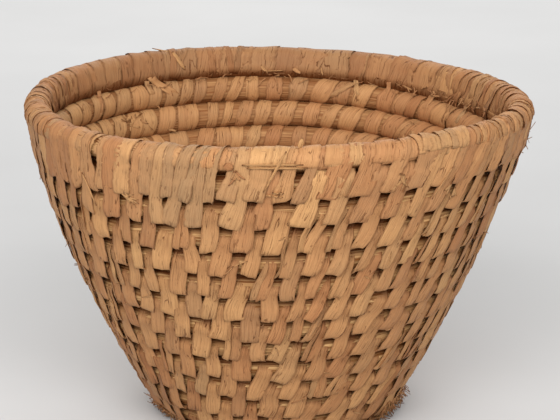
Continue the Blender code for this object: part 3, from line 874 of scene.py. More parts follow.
def inner_ties(name, wall, style, rng, stitches, material):
    """Strips that cross the groove between two turns on the inside, here and there.

    A tie goes straight from the middle of its turn to that of the turn below, at a slant. It lies on
    both turns, sinks a little at the groove and dives in at its ends. Under the rim there are twice as
    many, from its inside to the turn below it.
    """
    upmost = stitches.turns > wall.last_turn - UPMOST_TURNS
    drawn = rng.uniform(0, 1, len(upmost)) < np.where(upmost, UPMOST_TIES, 1) * TIE_SHARE
    fit = (wall.coil(stitches.turns) > THIN_COIL[1]) & (stitches.turns > wall.foot_turn + FIRST_TIED)
    chosen = np.flatnonzero(drawn & fit)
    turns = stitches.turns[chosen][:, None]
    strips = len(chosen)
    one = (strips, 1)
    t = np.linspace(0, 1, TIE_STEPS)[None, :]
    upper, lower = wall.place(turns), wall.place(turns - 1)
    raised = np.where(upmost[chosen][:, None], UPMOST_RAISE, 0.0)
    highest = (upper - wall.hoop + TIE_BELOW_RIM) / (upper - lower)
    begin = np.maximum(rng.uniform(*TIE_BEGINS, one) - raised, highest)
    end = rng.uniform(*TIE_ENDS, one) - raised
    down = begin + (end - begin) * t
    place = upper + (lower - upper) * down
    groove = bell(down % 1 - 0.5, TIE_GROOVE)
    ends = np.interp(t, TIE_DIVE_STATIONS, [1.0, 0.0, 0.0, 1.0])
    out = -(wall.coil(turns) + TIE_LIFT - TIE_SINK * groove - TIE_DIVE * ends)
    slant = np.tan(np.radians(rng.normal(0, TIE_SLANT, one)))
    middle = (upper + lower) / 2
    bow = rng.normal(0, TIE_BOW, one) * np.sin(math.pi * t)
    turn_angle = wall.angle(turns) + (slant * (middle - place) + bow) / wall.radius(place)
    edge = ragged_edge(rng, strips, TIE_STEPS, TIE_RAGGED)
    half_width = 0.5 * rng.uniform(*TIE_BREADTH, one) * edge
    heights = crowned(rng, strips, TIE_STEPS, INNER_CROWN, TIE_ROLL)
    tones = strip_tones(rng, strips, TIE_TONES)
    path = (place, turn_angle, out)
    return ribbons(name, wall, path, half_width, heights, style.thickness, tones, material)


class RimGroup(typing.NamedTuple):
    """Wraps round the rim hoop on one stretch of it. Angles are in degrees, sizes in metres."""

    count: int
    angles: tuple
    breadth: tuple
    lift: tuple
    bends: tuple  # where a wrap starts, low on the outside, and ends, on the inside; 90 is the crest
    lean: tuple  # middle and spread
    tones: tuple  # paleness, redness, greyness


RIM_GROUPS = (
    RimGroup(58, (158, 395), (0.0130, 0.0180), (-0.0006, 0.0002), (-38, 235), (9, 5), (0.28, 0.30, 0.15)),
    RimGroup(11, (35, 112), (0.0230, 0.0320), (0.0003, 0.0009), (-38, 235), (9, 5), (0.16, 0.36, 0.15)),
    RimGroup(7, (-97, -60), (0.0110, 0.0150), (0.0004, 0.0009), (-18, 225), (9, 4), (0.40, 0.25, 0.0)),
    RimGroup(9, (-60, -46), (0.0050, 0.0100), (0.0008, 0.0022), (12, 140), (8, 9), (0.75, 0.12, 0.35)),
    RimGroup(30, (-44, 40), (0.0030, 0.0090), (0.0004, 0.0018), (0, 215), (14, 9), (0.26, 0.42, 0.2)),
    RimGroup(30, (156, 208), (0.0030, 0.0080), (0.0004, 0.0018), (-20, 215), (14, 9), (0.10, 0.50, 0.25)),
    RimGroup(5, (98, 120), (0.0050, 0.0090), (0.0008, 0.0018), (40, 228), (10, 18), (0.35, 0.40, 0.1)),
    RimGroup(10, (111.5, 160), (0.0165, 0.0220), (0.0004, 0.0014), (-38, 235), (12, 5), (0.18, 0.36, 0.2)),
)
INSIDE_BEND = math.radians(55)  # bend past the hoop's middle that takes a wrap to its inner end
SHORT_WRAPS = RIM_GROUPS[2]  # the stretch where the strips below pass beneath the rim's own wraps

# A wrap round the hoop
WRAP_STEPS = 24
WRAP_BENDS = ((0, 0.05, 0.10, 1), (0, 0.012, 0.04, 1))  # shares of its length, and of its bend there
WRAP_DIVE = 0.6  # how deep its ends go, as a share of the end dive
WRAP_DIVES = ((0, 0.05, 0.10, 0.9, 1.0), (1.0, 0.12, 0.0, 0.0, 0.5))  # shares of its length, and of that
WRAP_PLACES = (0.25, 0.75)  # where in its own room along the rim it lies, as shares of that
WRAP_STRAY = 4  # spread of the bend where it starts, in degrees
WRAP_RAGGED = 0.05
WRAP_CROWN = 0.6  # as a share of a strip's crown
WRAP_ROLL = 0.0003
SHOULDER = math.pi / 4  # bend that a wrap leans about, and past which the back darkens


def rim_wraps(name, wall, style, rng, material):
    """Overcasts the rim hoop. Each wrap is an arc round it, from outside over the crest to the inside."""
    counts = by_strip(RIM_GROUPS, "count")
    strips = len(counts)
    one = (strips, 1)
    numbers = np.concatenate([np.arange(group.count) for group in RIM_GROUPS])[:, None]
    low, high = np.hsplit(by_strip(RIM_GROUPS, "angles"), 2)
    angles = np.radians(low + (high - low) * (numbers + rng.uniform(*WRAP_PLACES, one)) / counts)
    size = style.rim_wrap + draw_from(rng, RIM_GROUPS, "lift")
    t = np.linspace(0, 1, WRAP_STEPS)[None, :]
    begin, end = np.hsplit(by_strip(RIM_GROUPS, "bends"), 2)
    first = np.radians(begin + rng.normal(0, WRAP_STRAY, one))
    bend = first + (np.radians(end) - first) * np.interp(t, *WRAP_BENDS)
    size_there = size - style.end_dive * WRAP_DIVE * np.interp(t, *WRAP_DIVES)
    lean, lean_spread = np.hsplit(by_strip(RIM_GROUPS, "lean"), 2)
    lean = np.radians(lean + rng.normal(0, lean_spread))
    turn_angle = angles + np.tan(lean) * size * (bend - SHOULDER) / wall.radius(wall.rim)
    inside = np.clip((bend - math.pi) / INSIDE_BEND, 0, 1)
    hung, hung_out = wall.down_inside(angles, size_there, inside)
    place = np.where(inside > 0, hung, wall.hoop + size_there * np.sin(bend))
    out = np.where(inside > 0, hung_out, size_there * np.cos(bend))
    edge = ragged_edge(rng, strips, WRAP_STEPS, WRAP_RAGGED)
    half_width = 0.5 * draw_from(rng, RIM_GROUPS, "breadth") * edge
    heights = crowned(rng, strips, WRAP_STEPS, style.crown * WRAP_CROWN, WRAP_ROLL)
    back = bump_at(angles, *DARK_BACK)
    tones = strip_tones(rng, strips, by_strip(RIM_GROUPS, "tones").T, back[:, 0])
    path = (place, turn_angle, out)
    added_darkness = BACK_SHADE * back * smooth((bend - SHOULDER) / SHOULDER)
    return ribbons(name, wall, path, half_width, heights, style.thickness, tones, material, added_darkness=added_darkness)


class Tuft(typing.NamedTuple):
    """Loose fibres at one spot. Angles are in degrees, sizes in metres."""

    count: int
    angles: tuple
    heights: tuple  # above the floor, of their roots
    length: tuple
    climb: tuple  # how much of its length a fibre runs up the wall, or down it
    stand: tuple  # how far its tip stands off the wall
    breadth: tuple
    tones: tuple  # paleness, redness, greyness
    side: int = 1  # outside, or -1 for inside
    drift: int = 0  # the way round that all of them point, or 0 for either


TUFTS = (
    # All over the outside
    Tuft(110, (0, 360), (0.025, 0.22), (0.005, 0.013), (-1, 1),
         (0, 0.002), (0.0004, 0.0011), (0.6, 0.2, 0.1)),
    # Round the foot, and thicker on five stretches of it
    Tuft(240, (0, 360), (0.0110, 0.017), (0.003, 0.007), (-1, 0.3),
         (0.0005, 0.003), (0.0003, 0.0009), (0.4, 0.4, 0)),
    Tuft(140, (168, 206), (0.0110, 0.018), (0.004, 0.009), (-1, 0.3),
         (0.001, 0.005), (0.0003, 0.0009), (0.4, 0.4, 0)),
    Tuft(120, (-172, -112), (0.0110, 0.017), (0.004, 0.010), (-1, 0.2),
         (0.001, 0.006), (0.0003, 0.001), (0.5, 0.4, 0)),
    Tuft(150, (-128, -52), (0.0110, 0.016), (0.004, 0.009), (-1, -0.2),
         (0.0005, 0.003), (0.0004, 0.0016), (0.8, 0.3, 0)),
    Tuft(220, (-32, 10), (0.0110, 0.024), (0.004, 0.011), (-1, 0.2),
         (0.001, 0.008), (0.0003, 0.0009), (0.4, 0.4, 0)),
    Tuft(260, (-56, 4), (0.0110, 0.014), (0.006, 0.014), (-1, 0.1),
         (0.002, 0.010), (0.0003, 0.0010), (0.5, 0.4, 0)),
    # Frayed spots on the wall and the rim
    Tuft(7, (-12, 2), (0.214, 0.232), (0.005, 0.011), (-0.6, 0.6),
         (0.002, 0.005), (0.0006, 0.0016), (0.6, 0.3, 0.1)),
    Tuft(6, (176, 190), (0.120, 0.150), (0.005, 0.010), (-0.8, 0.4),
         (0.002, 0.004), (0.0006, 0.0014), (0.6, 0.3, 0.1)),
    Tuft(9, (-91.8, -89.3), (0.2200, 0.2240), (0.003, 0.006), (-0.6, 0.6),
         (0.001, 0.003), (0.002, 0.0036), (1, 0, 0)),
    Tuft(5, (-99.6, -98), (0.236, 0.240), (0.005, 0.010), (-1, -0.8),
         (0, 0.001), (0.0014, 0.0026), (0.3, 0.7, 0)),
    Tuft(12, (-126.5, -125), (0.2125, 0.2165), (0.007, 0.012), (-0.7, 0),
         (0, 0.001), (0.0007, 0.0014), (1, 0, 0), 1, 1),
    Tuft(7, (-64, -61), (0.226, 0.233), (0.006, 0.012), (-1, -0.95),
         (0, 0.001), (0.0008, 0.0022), (1, 0, 0), 1, -1),
    # On the inside, the last one outside again
    Tuft(60, (20, 160), (0.219, 0.227), (0.004, 0.010), (-0.8, 0.3),
         (0, 0.002), (0.0004, 0.0012), (0.1, 0.6, 0), -1),
    Tuft(10, (131, 139), (0.196, 0.206), (0.005, 0.010), (-0.9, 0.2),
         (0, 0.003), (0.001, 0.0034), (0.8, 0.1, 0), -1),
    Tuft(20, (15, 50), (0.222, 0.230), (0.005, 0.012), (-0.9, 0.2),
         (0, 0.002), (0.0006, 0.0020), (0.3, 0.5, 0.1), -1),
    Tuft(40, (0, 360), (0.030, 0.215), (0.004, 0.010), (-1, 1),
         (0, 0.0015), (0.0006, 0.0020), (0.6, 0.2, 0), -1),
    Tuft(6, (-49, -46), (0.212, 0.218), (0.005, 0.010), (-1, -0.92),
         (0, 0.001), (0.0008, 0.0024), (0.9, 0.1, 0), 1, -1),
)
FIBRE_STEPS = 6
LEAST_SIDEWAYS = 0.02  # square of the least share of its length that a fibre runs sideways
CURL = 0.45  # spread of how far its tip turns off, as a share of its length
ROOT_LIFT = 0.0008
STAND_POWER = 1.6  # power of the way along that a fibre lifts off with
FIBRE_TAPER = ((0, 0.2, 0.8, 1.0), (0.6, 1.0, 0.9, 0.25))  # shares of its length and of its breadth
FIBRE_CROWN = 0.25  # as a share of its half width
FIBRE_THICKNESS = 0.0003


def loose_fibres(name, wall, rng, material):
    """Fibres that have come away: each leaves the wall on a curve that lifts off towards its tip."""
    angles = np.radians(draw_from(rng, TUFTS, "angles"))
    strips = len(angles)
    root = wall.up_wall(draw_from(rng, TUFTS, "heights"))
    reach = draw_from(rng, TUFTS, "length")
    climb = draw_from(rng, TUFTS, "climb")
    either = np.where(rng.uniform(0, 1, (strips, 1)) < 0.5, -1, 1)
    drift = by_strip(TUFTS, "drift")
    sideways = np.sqrt(np.maximum(1 - climb**2, LEAST_SIDEWAYS)) * np.where(drift == 0, either, drift)
    t = np.linspace(0, 1, FIBRE_STEPS)[None, :]
    curl = rng.normal(0, CURL, (strips, 1)) * t**2
    place = root + reach * (climb * t + curl * sideways)
    turn_angle = angles + reach * (sideways * t - curl * climb) / wall.radius(root)
    out = wall.shape.coil_radius + ROOT_LIFT + draw_from(rng, TUFTS, "stand") * t**STAND_POWER
    out = out * by_strip(TUFTS, "side")
    half_width = 0.5 * draw_from(rng, TUFTS, "breadth") * np.interp(t, *FIBRE_TAPER)
    heights = FIBRE_CROWN * half_width[..., None] * (1 - UPPER_SHARES**2)
    tones = strip_tones(rng, strips, by_strip(TUFTS, "tones").T)
    path = (place, turn_angle, out)
    return ribbons(name, wall, path, half_width, heights, FIBRE_THICKNESS, tones, material)


class Straw(typing.NamedTuple):
    """A straw or thin strip laid across the wall. Angles are in degrees, sizes in metres."""

    angles: tuple
    heights: tuple
    breadth: float
    stand: tuple  # off the coil at its two ends
    tones: tuple
    side: int = 1  # outside, or -1 for inside


STRAWS = (
    Straw((-97.5, -85.0), (0.2436, 0.2432), 0.0019, (0.0004, 0.0002), (1.0, 0.0, 0.0)),
    Straw((-96.5, -84.0), (0.2412, 0.2406), 0.0017, (0.0004, 0.0002), (1.0, 0.0, 0.0)),
    Straw((-88.5, -93.0), (0.2540, 0.2240), 0.0020, (0.0008, 0.0022), (0.8, 0.2, 0.0)),
    Straw((-85.6, -85.0), (0.2500, 0.2578), 0.0036, (-0.0100, -0.0112), (1.0, 0.0, 0.0)),
    Straw((-101.0, -99.4), (0.2436, 0.2396), 0.0066, (0.0004, 0.0002), (0.1, 0.9, 0.0)),
    Straw((-137.5, -134.7), (0.2240, 0.2005), 0.0016, (0.0014, 0.0014), (0.9, 0.1, 0.0)),
    Straw((-50.0, -53.5), (0.2300, 0.2080), 0.0014, (0.0014, 0.0014), (0.8, 0.1, 0.0)),
    Straw((120.0, 116.9), (0.2490, 0.2330), 0.0040, (-0.0004, 0.0008), (0.9, 0.1, 0.0), -1),
    Straw((118.5, 124.5), (0.2470, 0.2535), 0.0012, (-0.0030, -0.0085), (1.0, 0.0, 0.0), -1),
    Straw((94.9, 92.9), (0.2355, 0.2240), 0.0034, (-0.0004, 0.0012), (0.7, 0.3, 0.0), -1),
    Straw((88.6, 93.8), (0.2290, 0.2270), 0.0030, (0.0002, 0.0016), (0.7, 0.2, 0.0), -1),
    Straw((85.9, 83.8), (0.2340, 0.2235), 0.0050, (-0.0004, 0.0010), (0.4, 0.5, 0.0), -1),
    Straw((78.1, 77.3), (0.2360, 0.2230), 0.0020, (-0.0002, 0.0012), (0.6, 0.3, 0.0), -1),
)
STRAW_STEPS = 12
STRAW_TAPER = ((0, 0.25, 0.7, 1.0), (0.5, 1.0, 0.95, 0.25))  # shares of its length and of its breadth
STRAW_CROWN = 0.6  # as a share of its half width
HIGHEST_CROWN = 0.0009
STRAW_THICKNESS = 0.0006


def stray_straws(name, wall, material):
    """Single straws that lie across the strips, each straight from one spot on the wall to another."""
    t = np.linspace(0, 1, STRAW_STEPS)[None, :]

    def between(ends):
        return ends[:, :1] + (ends[:, 1:] - ends[:, :1]) * t

    place = between(wall.up_wall(listed(STRAWS, "heights")))
    turn_angle = between(np.radians(listed(STRAWS, "angles")))
    out = listed(STRAWS, "side") * (wall.shape.coil_radius + between(listed(STRAWS, "stand")))
    half_width = 0.5 * listed(STRAWS, "breadth") * np.interp(t, *STRAW_TAPER)
    crown = np.minimum(STRAW_CROWN * half_width, HIGHEST_CROWN)[..., None] * (1 - UPPER_SHARES**2)
    tones = listed(STRAWS, "tones")
    path = (place, turn_angle, out)
    return ribbons(name, wall, path, half_width, crown, STRAW_THICKNESS, tones, material)


class Ink:
    """A shader value. Python's operators on it add the maths nodes that work them out."""

    def __init__(self, graph, socket):
        self.graph = graph
        self.socket = socket

    def maths(self, operation, *values):
        """Adds one maths node."""
        return self.graph.add("ShaderNodeMath", {"operation": operation}, dict(enumerate(values)))

    def __add__(self, other):
        return self.maths("ADD", self, other)

    def __sub__(self, other):
        return self.maths("SUBTRACT", self, other)

    def __mul__(self, other):
        return self.maths("MULTIPLY", self, other)

    def __rsub__(self, other):
        return self.maths("SUBTRACT", other, self)

    def __abs__(self):
        return self.maths("ABSOLUTE", self)

    __radd__ = __add__
    __rmul__ = __mul__

    def clamped(self):
        """The value, held between 0 and 1."""
        return self.graph.add("ShaderNodeClamp", {}, {"Value": self})

    def stretched(self, low, high):
        """0 at low and 1 at high, held past them."""
        sockets = {"Value": self, "From Min": low, "From Max": high}
        return self.graph.add("ShaderNodeMapRange", {"clamp": True}, sockets)


class Graph:
    """One material's nodes."""

    MIX_SOCKETS = (0, 6, 7)  # a Mix node's factor and its two colours
    MIX_RESULT = 2  # and its mixed colour

    def __init__(self, name):
        self.material = bpy.data.materials.new(name)
        self.material.use_nodes = True
        self.tree = self.material.node_tree
        self.shader = self.tree.nodes["Principled BSDF"]

    def add(self, kind, settings, sockets, output=0):
        """Adds any node: its settings first, then the values or links of its sockets."""
        node = self.tree.nodes.new(kind)
        for name, value in settings.items():
            setattr(node, name, value)
        for name, value in sockets.items():
            self.put(node.inputs[name], value)
        return Ink(self, node.outputs[output])

    def put(self, socket, value):
        """Links a shader value to a socket, or sets a plain one on it."""
        if isinstance(value, Ink):
            self.tree.links.new(value.socket, socket)
        else:
            socket.default_value = value

    def attribute(self, name):
        """The three parts of a value that the mesh carries."""
        vector = self.add("ShaderNodeAttribute", {"attribute_name": name}, {}, "Vector")
        first = self.add("ShaderNodeSeparateXYZ", {}, {"Vector": vector})
        return [Ink(self, output) for output in first.socket.node.outputs]

    def number(self, name):
        """A single value that the mesh carries."""
        return self.add("ShaderNodeAttribute", {"attribute_name": name}, {}, "Fac")

    def vector(self, x, y, z):
        """A vector from its three parts."""
        return self.add("ShaderNodeCombineXYZ", {}, {"X": x, "Y": y, "Z": z})

    def noise(self, vector, scale, detail, roughness=0.5):
        """Cloudy noise about a half."""
        sockets = {"Vector": vector, "Scale": scale, "Detail": detail, "Roughness": roughness}
        return self.add("ShaderNodeTexNoise", {}, sockets, "Fac")

    def mix(self, factor, first, second):
        """Blends two colours."""
        ends = [value if isinstance(value, Ink) else (*value, 1.0) for value in (first, second)]
        sockets = dict(zip(self.MIX_SOCKETS, (factor, *ends)))
        return self.add("ShaderNodeMix", {"data_type": "RGBA"}, sockets, self.MIX_RESULT)

    def finish(self, base, roughness, height, bump, bump_distance):
        """Joins colour, roughness and bump to the shader."""
        self.put(self.shader.inputs["Base Color"], base)
        self.put(self.shader.inputs["Roughness"], roughness)
        sockets = {"Strength": bump, "Distance": bump_distance, "Height": height}
        self.put(self.shader.inputs["Normal"], self.add("ShaderNodeBump", {}, sockets))
        return self.material


STRIP_STEP = 7.31  # how far apart neighbouring strips' patterns lie
STRIP_GLOSS = 0.18
STRAW_GLOSS = 0.12


def strip_material(name, colours, edge_shade, fibrous):
    """Dried bark strip: fibres and cracks run its length, its edges are darker with painted shade, its tone
    is its own.

    Each pattern is noise over a strip's width, length and number. A crack is where one comes near a half.
    """
    graph = Graph(name)
    across, along, number = graph.attribute("grain")
    paleness, redness, greyness = graph.attribute("tone")
    shade = graph.number("shade")
    spread = number * STRIP_STEP

    def pattern(over_width, per_metre, per_strip, detail, roughness=0.5):
        where = graph.vector(across * over_width + spread, along * per_metre, number * per_strip)
        return graph.noise(where, 1.0, detail, roughness)

    fine = pattern(9.0, 36.0, 1.0, detail=4.0, roughness=0.70)
    split = pattern(1.9, 22.0, 2.3, detail=1.0)
    broad = pattern(1.6, 60.0, 3.7, detail=2.0)
    blotch = pattern(0.8, 130.0, 1.9, detail=3.0, roughness=0.6)
    base = graph.mix(redness, colours.strip_tan, colours.strip_red)
    base = graph.mix((paleness + (broad - 0.5) * 0.7).clamped(), base, colours.strip_gold)
    base = graph.mix((greyness + (blotch - 0.55) * 0.6).clamped(), base, colours.strip_grey)
    streak = fine.stretched(0.54, 0.30) * fibrous
    crack = abs(split - 0.5).stretched(0.016, 0.004) * blotch.stretched(0.42, 0.58)
    # Painted shade along the edges, where neighbouring strips meet
    edge = abs(across).stretched(0.78, 1.02) * edge_shade
    # Fibres and cracks are the strip's own; edge and shade bring in painted shade, and shade also the rim's
    # darker back
    base = graph.mix((streak + crack * 0.6 + edge + shade).clamped(), base, colours.fibre_and_shade_dark)
    graph.put(graph.shader.inputs["Specular IOR Level"], STRIP_GLOSS)
    height = fine + broad * 0.6 - crack * 0.8
    return graph.finish(base, 0.50 + fine * 0.22, height, bump=0.7, bump_distance=0.0009)


def straw_material(name, colours):
    """Old straw: pale and dark straws side by side, with fine lines along them.

    Its inner side is redder, by the cosine of the way round the bundle. The grooves above and below it
    get painted shade, by the sine, less so on the palest straws and on the inner side.
    """
    graph = Graph(name)
    around, along, number = graph.attribute("grain")
    line = graph.noise(graph.vector(around * 9.0, along * 18.0, number), 1.0, detail=3.0, roughness=0.6)
    stalk = graph.noise(graph.vector(number * 5.3, along * 9.0, 0.5), 1.0, detail=2.0)
    base = graph.mix(stalk.stretched(0.35, 0.65), colours.straw_dark, colours.straw_pale)
    outer_side = around.maths("COSINE", around).stretched(-0.2, 0.2)
    base = graph.mix((1 - outer_side) * 0.5, base, colours.strip_red)
    # Painted shade in the grooves between turns, where the straw lies deep under the strips
    hollow = abs(around.maths("SINE", around)).stretched(0.48, 0.84)
    groove = hollow * (0.95 - stalk.stretched(0.56, 0.68) * 0.50) * (outer_side * 0.75 + 0.25)
    base = graph.mix((line.stretched(0.55, 0.30) * 0.6 + groove).clamped(), base, colours.fibre_and_shade_dark)
    graph.put(graph.shader.inputs["Specular IOR Level"], STRAW_GLOSS)
    return graph.finish(base, 0.55 + line * 0.2, line, bump=0.5, bump_distance=0.0006)


def plain_material(name, tint, roughness):
    """A pale painted surface with the faintest unevenness."""
    graph = Graph(name)
    where = graph.add("ShaderNodeTexCoord", {}, {}, "Object")
    cloud = graph.noise(where, 3.0, detail=4.0)
    darker = [0.96 * value for value in tint]
    base = graph.mix(cloud.stretched(0.35, 0.65), tint, darker)
    return graph.finish(base, roughness, cloud, bump=0.05, bump_distance=0.002)


# A bundle of straws: shares of its radius, and how it is laid
STRAWS_ROUND = 30
FURROW = 0.90
LOW_CREST = 0.955
CREST_SWELL = 0.045  # what a straw's crest gains where it swells most
SWELL = 0.55  # middle of a straw's swelling
SWELL_SWING = 0.45
SWELL_RATES = (0.7, 1.9)  # range of half the number of swellings to a turn, before it is rounded
BUNDLE_TALLER = 1.08  # height of a bundle over its thickness
COIL_SECTIONS = 60  # to a turn
HOOP_SECTIONS = 2 * COIL_SECTIONS
COIL_BEGINS = 0.08  # turns left out at the coil's inner tip
HOOP_KEEL = 0.28  # share of its radius that the hoop's underside is drawn down by


def straw_tube(name, wall, turns, centre, section_radius, material, closed, keel=0.0):
    """A bundle of straws laid along the wall.

    Round its middle lie the straws, as ridges with a furrow between each two. Each ridge swells and
    sinks along the bundle at its own slow rate, so that straws come and go. A keel draws its underside
    down into the groove below it, by the fourth power of how far down a straw lies.
    """
    rng = np.random.default_rng(STRAW_SEED)
    rates = np.round(rng.uniform(*SWELL_RATES, STRAWS_ROUND) * 2)
    phases = rng.uniform(0, 2 * math.pi, STRAWS_ROUND)
    swell = SWELL + SWELL_SWING * np.sin(2 * math.pi * turns[:, None] * rates + phases)
    crest = LOW_CREST + CREST_SWELL * swell
    sections, around = len(turns), 2 * STRAWS_ROUND
    shares = np.stack([crest, np.full_like(crest, FURROW)], axis=-1).reshape(sections, around)
    facing = 2 * math.pi * (np.arange(around) / around)[None, :]
    reach = section_radius[:, None] * shares
    drawn_down = 1 + keel * np.minimum(np.sin(facing), 0) ** 4
    points = wall.at(
        centre[:, None] + BUNDLE_TALLER * reach * np.sin(facing) * drawn_down,
        wall.angle(turns)[:, None] + 0 * facing,
        reach * np.cos(facing),
    )
    quads, caps = ribbon_faces(1, sections + 1 if closed else sections, around)
    if closed:
        quads, caps = quads % (sections * around), caps[:0]
    obj = mesh_object(name, points, quads[:, ::-1], caps[:, ::-1], material, 180)
    grain = np.empty(points.shape)
    grain[..., 0] = facing
    grain[..., 1] = (turns * 2 * math.pi * wall.radius(centre))[:, None]
    grain[..., 2] = np.repeat(np.arange(STRAWS_ROUND), 2)
    add_values(obj, "grain", grain.reshape(-1, 3))
    return obj


class BASKET_OT_straw(bpy.types.Operator):
    """Winds the straw coil and the rim's straw hoop"""

    bl_idname = "basket.straw"
    bl_label = "Straw coil and hoop"

    def execute(self, context):
        scene = context.scene
        wall = Wall(scene.basket_shape)
        material = straw_material("old_straw", scene.basket_colours)
        turns = np.arange(COIL_BEGINS, wall.last_turn, 1 / COIL_SECTIONS)
        coil = straw_tube("coil_straw", wall, turns, wall.place(turns), wall.coil(turns), material, False)
        settle(coil, "straw", "straw_coil")
        turns = np.arange(HOOP_SECTIONS) / HOOP_SECTIONS
        centre = np.full(len(turns), wall.hoop)
        size = np.full(len(turns), scene.basket_shape.rim_straw)
        hoop = straw_tube("rim_straw", wall, turns, centre, size, material, True, keel=HOOP_KEEL)
        settle(hoop, "straw", "rim_core")
        return {"FINISHED"}


class BASKET_OT_outer_strips(bpy.types.Operator):
    """Sews the rows of strips over the outside, on the base, up the wall and over the rim"""

    bl_idname = "basket.outer_strips"
    bl_label = "Outer strips"

    def execute(self, context):
        scene = context.scene
        wall, style, colours = Wall(scene.basket_shape), scene.basket_strips, scene.basket_colours
        stitches = Stitches(wall, style)
        material = strip_material("bark_strip", colours, edge_shade=0.46, fibrous=0.42)
        rng = np.random.default_rng(STRIP_SEED)
        for kind, bounds in zip(("base", "wall"), wall.row_bounds()):
            for number, (start, end) in enumerate(zip(bounds[:-1], bounds[1:]), 1):
                chosen = stitches.between(start, end)
                name = f"{kind}_strips_{number:02d}"
                row = outer_strips(name, wall, style, rng, stitches, chosen, material)
                settle(row, "binding_strip", f"{kind}_binding_{number:02d}")
        for number in range(WALL_ROWS - RIM_TURNS + 1, WALL_ROWS + 1):
            end = wall.last_turn - ROW_STOP - (WALL_ROWS - number)
            chosen = stitches.between(end - 1, end)
            past_first = np.degrees(wall.angle(stitches.tops[chosen])) - SHORT_WRAPS.angles[0]
            beside = past_first % 360 < SHORT_WRAPS.angles[1] - SHORT_WRAPS.angles[0]
            under = beside & (number < WALL_ROWS)
            name = f"wall_strips_{number:02d}"
            row = overcast_strips(name, wall, style, rng, stitches, chosen, under, material)
            settle(row, "binding_strip", f"wall_binding_{number:02d}")
        rim_bark = strip_material("rim_bark", colours, edge_shade=0.28, fibrous=0.30)
        settle(rim_wraps("rim_strips", wall, style, rng, rim_bark), "rim_strip", "rim_wrap")
        return {"FINISHED"}


class BASKET_OT_inner_stitches(bpy.types.Operator):
    """Adds the short wraps and ties that show on the inside"""

    bl_idname = "basket.inner_stitches"
    bl_label = "Inner stitches"

    def execute(self, context):
        scene = context.scene
        wall, style = Wall(scene.basket_shape), scene.basket_strips
        stitches = Stitches(wall, style)
        material = strip_material("inner_bark", scene.basket_colours, edge_shade=0.4, fibrous=0.42)
        rng = np.random.default_rng(INNER_SEED)
        for name, sew in (("inner_stitches", inner_stitches), ("inner_ties", inner_ties)):
            settle(sew(name, wall, style, rng, stitches, material), "binding_strip")
        return {"FINISHED"}


class BASKET_OT_loose_fibres(bpy.types.Operator):
    """Adds frayed fibres and stray straws"""

    bl_idname = "basket.loose_fibres"
    bl_label = "Loose fibres"

    def execute(self, context):
        scene = context.scene
        wall = Wall(scene.basket_shape)
        material = strip_material("loose_fibre", scene.basket_colours, edge_shade=0.3, fibrous=0.42)
        rng = np.random.default_rng(FIBRE_SEED)
        settle(loose_fibres("loose_fibres", wall, rng, material), "binding_strip")
        settle(stray_straws("stray_straws", wall, material), "straw")
        return {"FINISHED"}


class Lamp(typing.NamedTuple):
    """A soft rectangular lamp. Its places and size are in metres, its power in watts."""

    name: str
    place: tuple
    target: tuple
    size: tuple
    power: float


LAMPS = (
    Lamp("key", (-0.10, -1.80, 1.42), (0.0, 0.0, 0.12), (2.6, 1.2), 61.5),
    Lamp("back", (0.0, 2.3, 1.8), (0.0, 0.9, 0.0), (3.0, 1.2), 40.0),
)
SURROUND = (1.0, 0.99, 0.97, 1.0)  # colour of the light from all round
SURROUND_STRENGTH = 0.46
FLOOR_REACH = 6.0
FLOOR_ROUGHNESS = 0.9


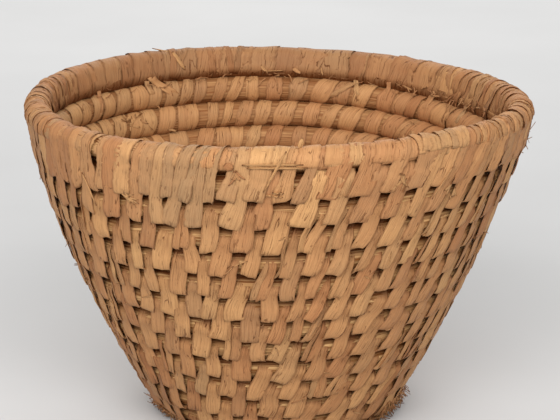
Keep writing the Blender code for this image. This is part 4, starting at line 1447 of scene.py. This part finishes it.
class BASKET_OT_stage(bpy.types.Operator):
    """Sets up the floor, the lights and the camera"""

    bl_idname = "basket.stage"
    bl_label = "Stage"

    def execute(self, context):
        scene = context.scene
        settings = scene.basket_stage
        self.floor(scene, settings)
        self.lights(scene)
        self.camera(scene, settings)
        scene.view_settings.view_transform = "Standard"
        return {"FINISHED"}

    def floor(self, scene, settings):
        """A wide plain floor."""
        mesh = bpy.data.meshes.new("floor")
        corners = [(x * FLOOR_REACH, y * FLOOR_REACH, 0) for x, y in ((-1, -1), (1, -1), (1, 1), (-1, 1))]
        mesh.from_pydata(corners, [], [(0, 1, 2, 3)])
        mesh.materials.append(plain_material("floor", settings.floor_colour, FLOOR_ROUGHNESS))
        obj = bpy.data.objects.new("floor", mesh)
        scene.collection.objects.link(obj)

    def lights(self, scene):
        """A large soft lamp above the front, a weaker one above the back, and an even light all round."""
        world = bpy.data.worlds.new("studio")
        world.use_nodes = True
        background = world.node_tree.nodes["Background"]
        background.inputs["Color"].default_value = SURROUND
        background.inputs["Strength"].default_value = SURROUND_STRENGTH
        scene.world = world
        for lamp in LAMPS:
            light = bpy.data.lights.new(lamp.name, "AREA")
            light.shape = "RECTANGLE"
            light.size, light.size_y = lamp.size
            light.energy = lamp.power
            obj = bpy.data.objects.new(lamp.name, light)
            obj.location = lamp.place
            obj.rotation_euler = aim_rotation(lamp.place, lamp.target)
            scene.collection.objects.link(obj)

    def camera(self, scene, settings):
        """A long lens at the photograph's height and distance."""
        aim = np.array(settings.camera_aim)
        back = np.array([0.0, -math.cos(settings.camera_rise), math.sin(settings.camera_rise)])
        lens = bpy.data.cameras.new("camera")
        lens.lens = settings.camera_lens
        camera = bpy.data.objects.new("camera", lens)
        camera.location = aim + settings.camera_distance * back
        camera.rotation_euler = aim_rotation(camera.location, aim)
        scene.collection.objects.link(camera)
        scene.camera = camera


def aim_rotation(place, target):
    """The turn that points a camera or lamp from its place to a target, with no roll."""
    away = np.array(place) - np.array(target)
    return (math.atan2(math.hypot(away[0], away[1]), away[2]), 0.0, math.atan2(away[0], -away[1]))


class BASKET_PT_sidebar(bpy.types.Panel):
    """Lists the basket's settings and the steps that build it"""

    bl_label = "Coiled Straw Basket"
    bl_idname = "BASKET_PT_sidebar"
    bl_space_type = "VIEW_3D"
    bl_region_type = "UI"
    bl_category = "Basket"

    def draw(self, context):
        layout = self.layout
        for name in SETTINGS:
            group = getattr(context.scene, name)
            box = layout.box()
            for key in group.__annotations__:
                box.prop(group, key)
        for operator in OPERATORS:
            layout.operator(operator.bl_idname)


SETTINGS = {
    "basket_shape": BasketShape,
    "basket_strips": StripStyle,
    "basket_colours": BasketColours,
    "basket_stage": StageSettings,
}
OPERATORS = (
    BASKET_OT_straw,
    BASKET_OT_outer_strips,
    BASKET_OT_inner_stitches,
    BASKET_OT_loose_fibres,
    BASKET_OT_stage,
)


def register():
    """Registers the classes and gives the scene their settings."""
    for kind in (*SETTINGS.values(), *OPERATORS, BASKET_PT_sidebar):
        bpy.utils.register_class(kind)
    for name, group in SETTINGS.items():
        setattr(bpy.types.Scene, name, bpy.props.PointerProperty(type=group))


def unregister():
    """Takes back what register does, in reverse."""
    for name in SETTINGS:
        delattr(bpy.types.Scene, name)
    for kind in reversed((*SETTINGS.values(), *OPERATORS, BASKET_PT_sidebar)):
        bpy.utils.unregister_class(kind)


def main():
    """Builds every piece and the stage."""
    register()
    bpy.ops.basket.straw()
    bpy.ops.basket.outer_strips()
    bpy.ops.basket.inner_stitches()
    bpy.ops.basket.loose_fibres()
    bpy.ops.basket.stage()


if __name__ == "__main__":
    main()
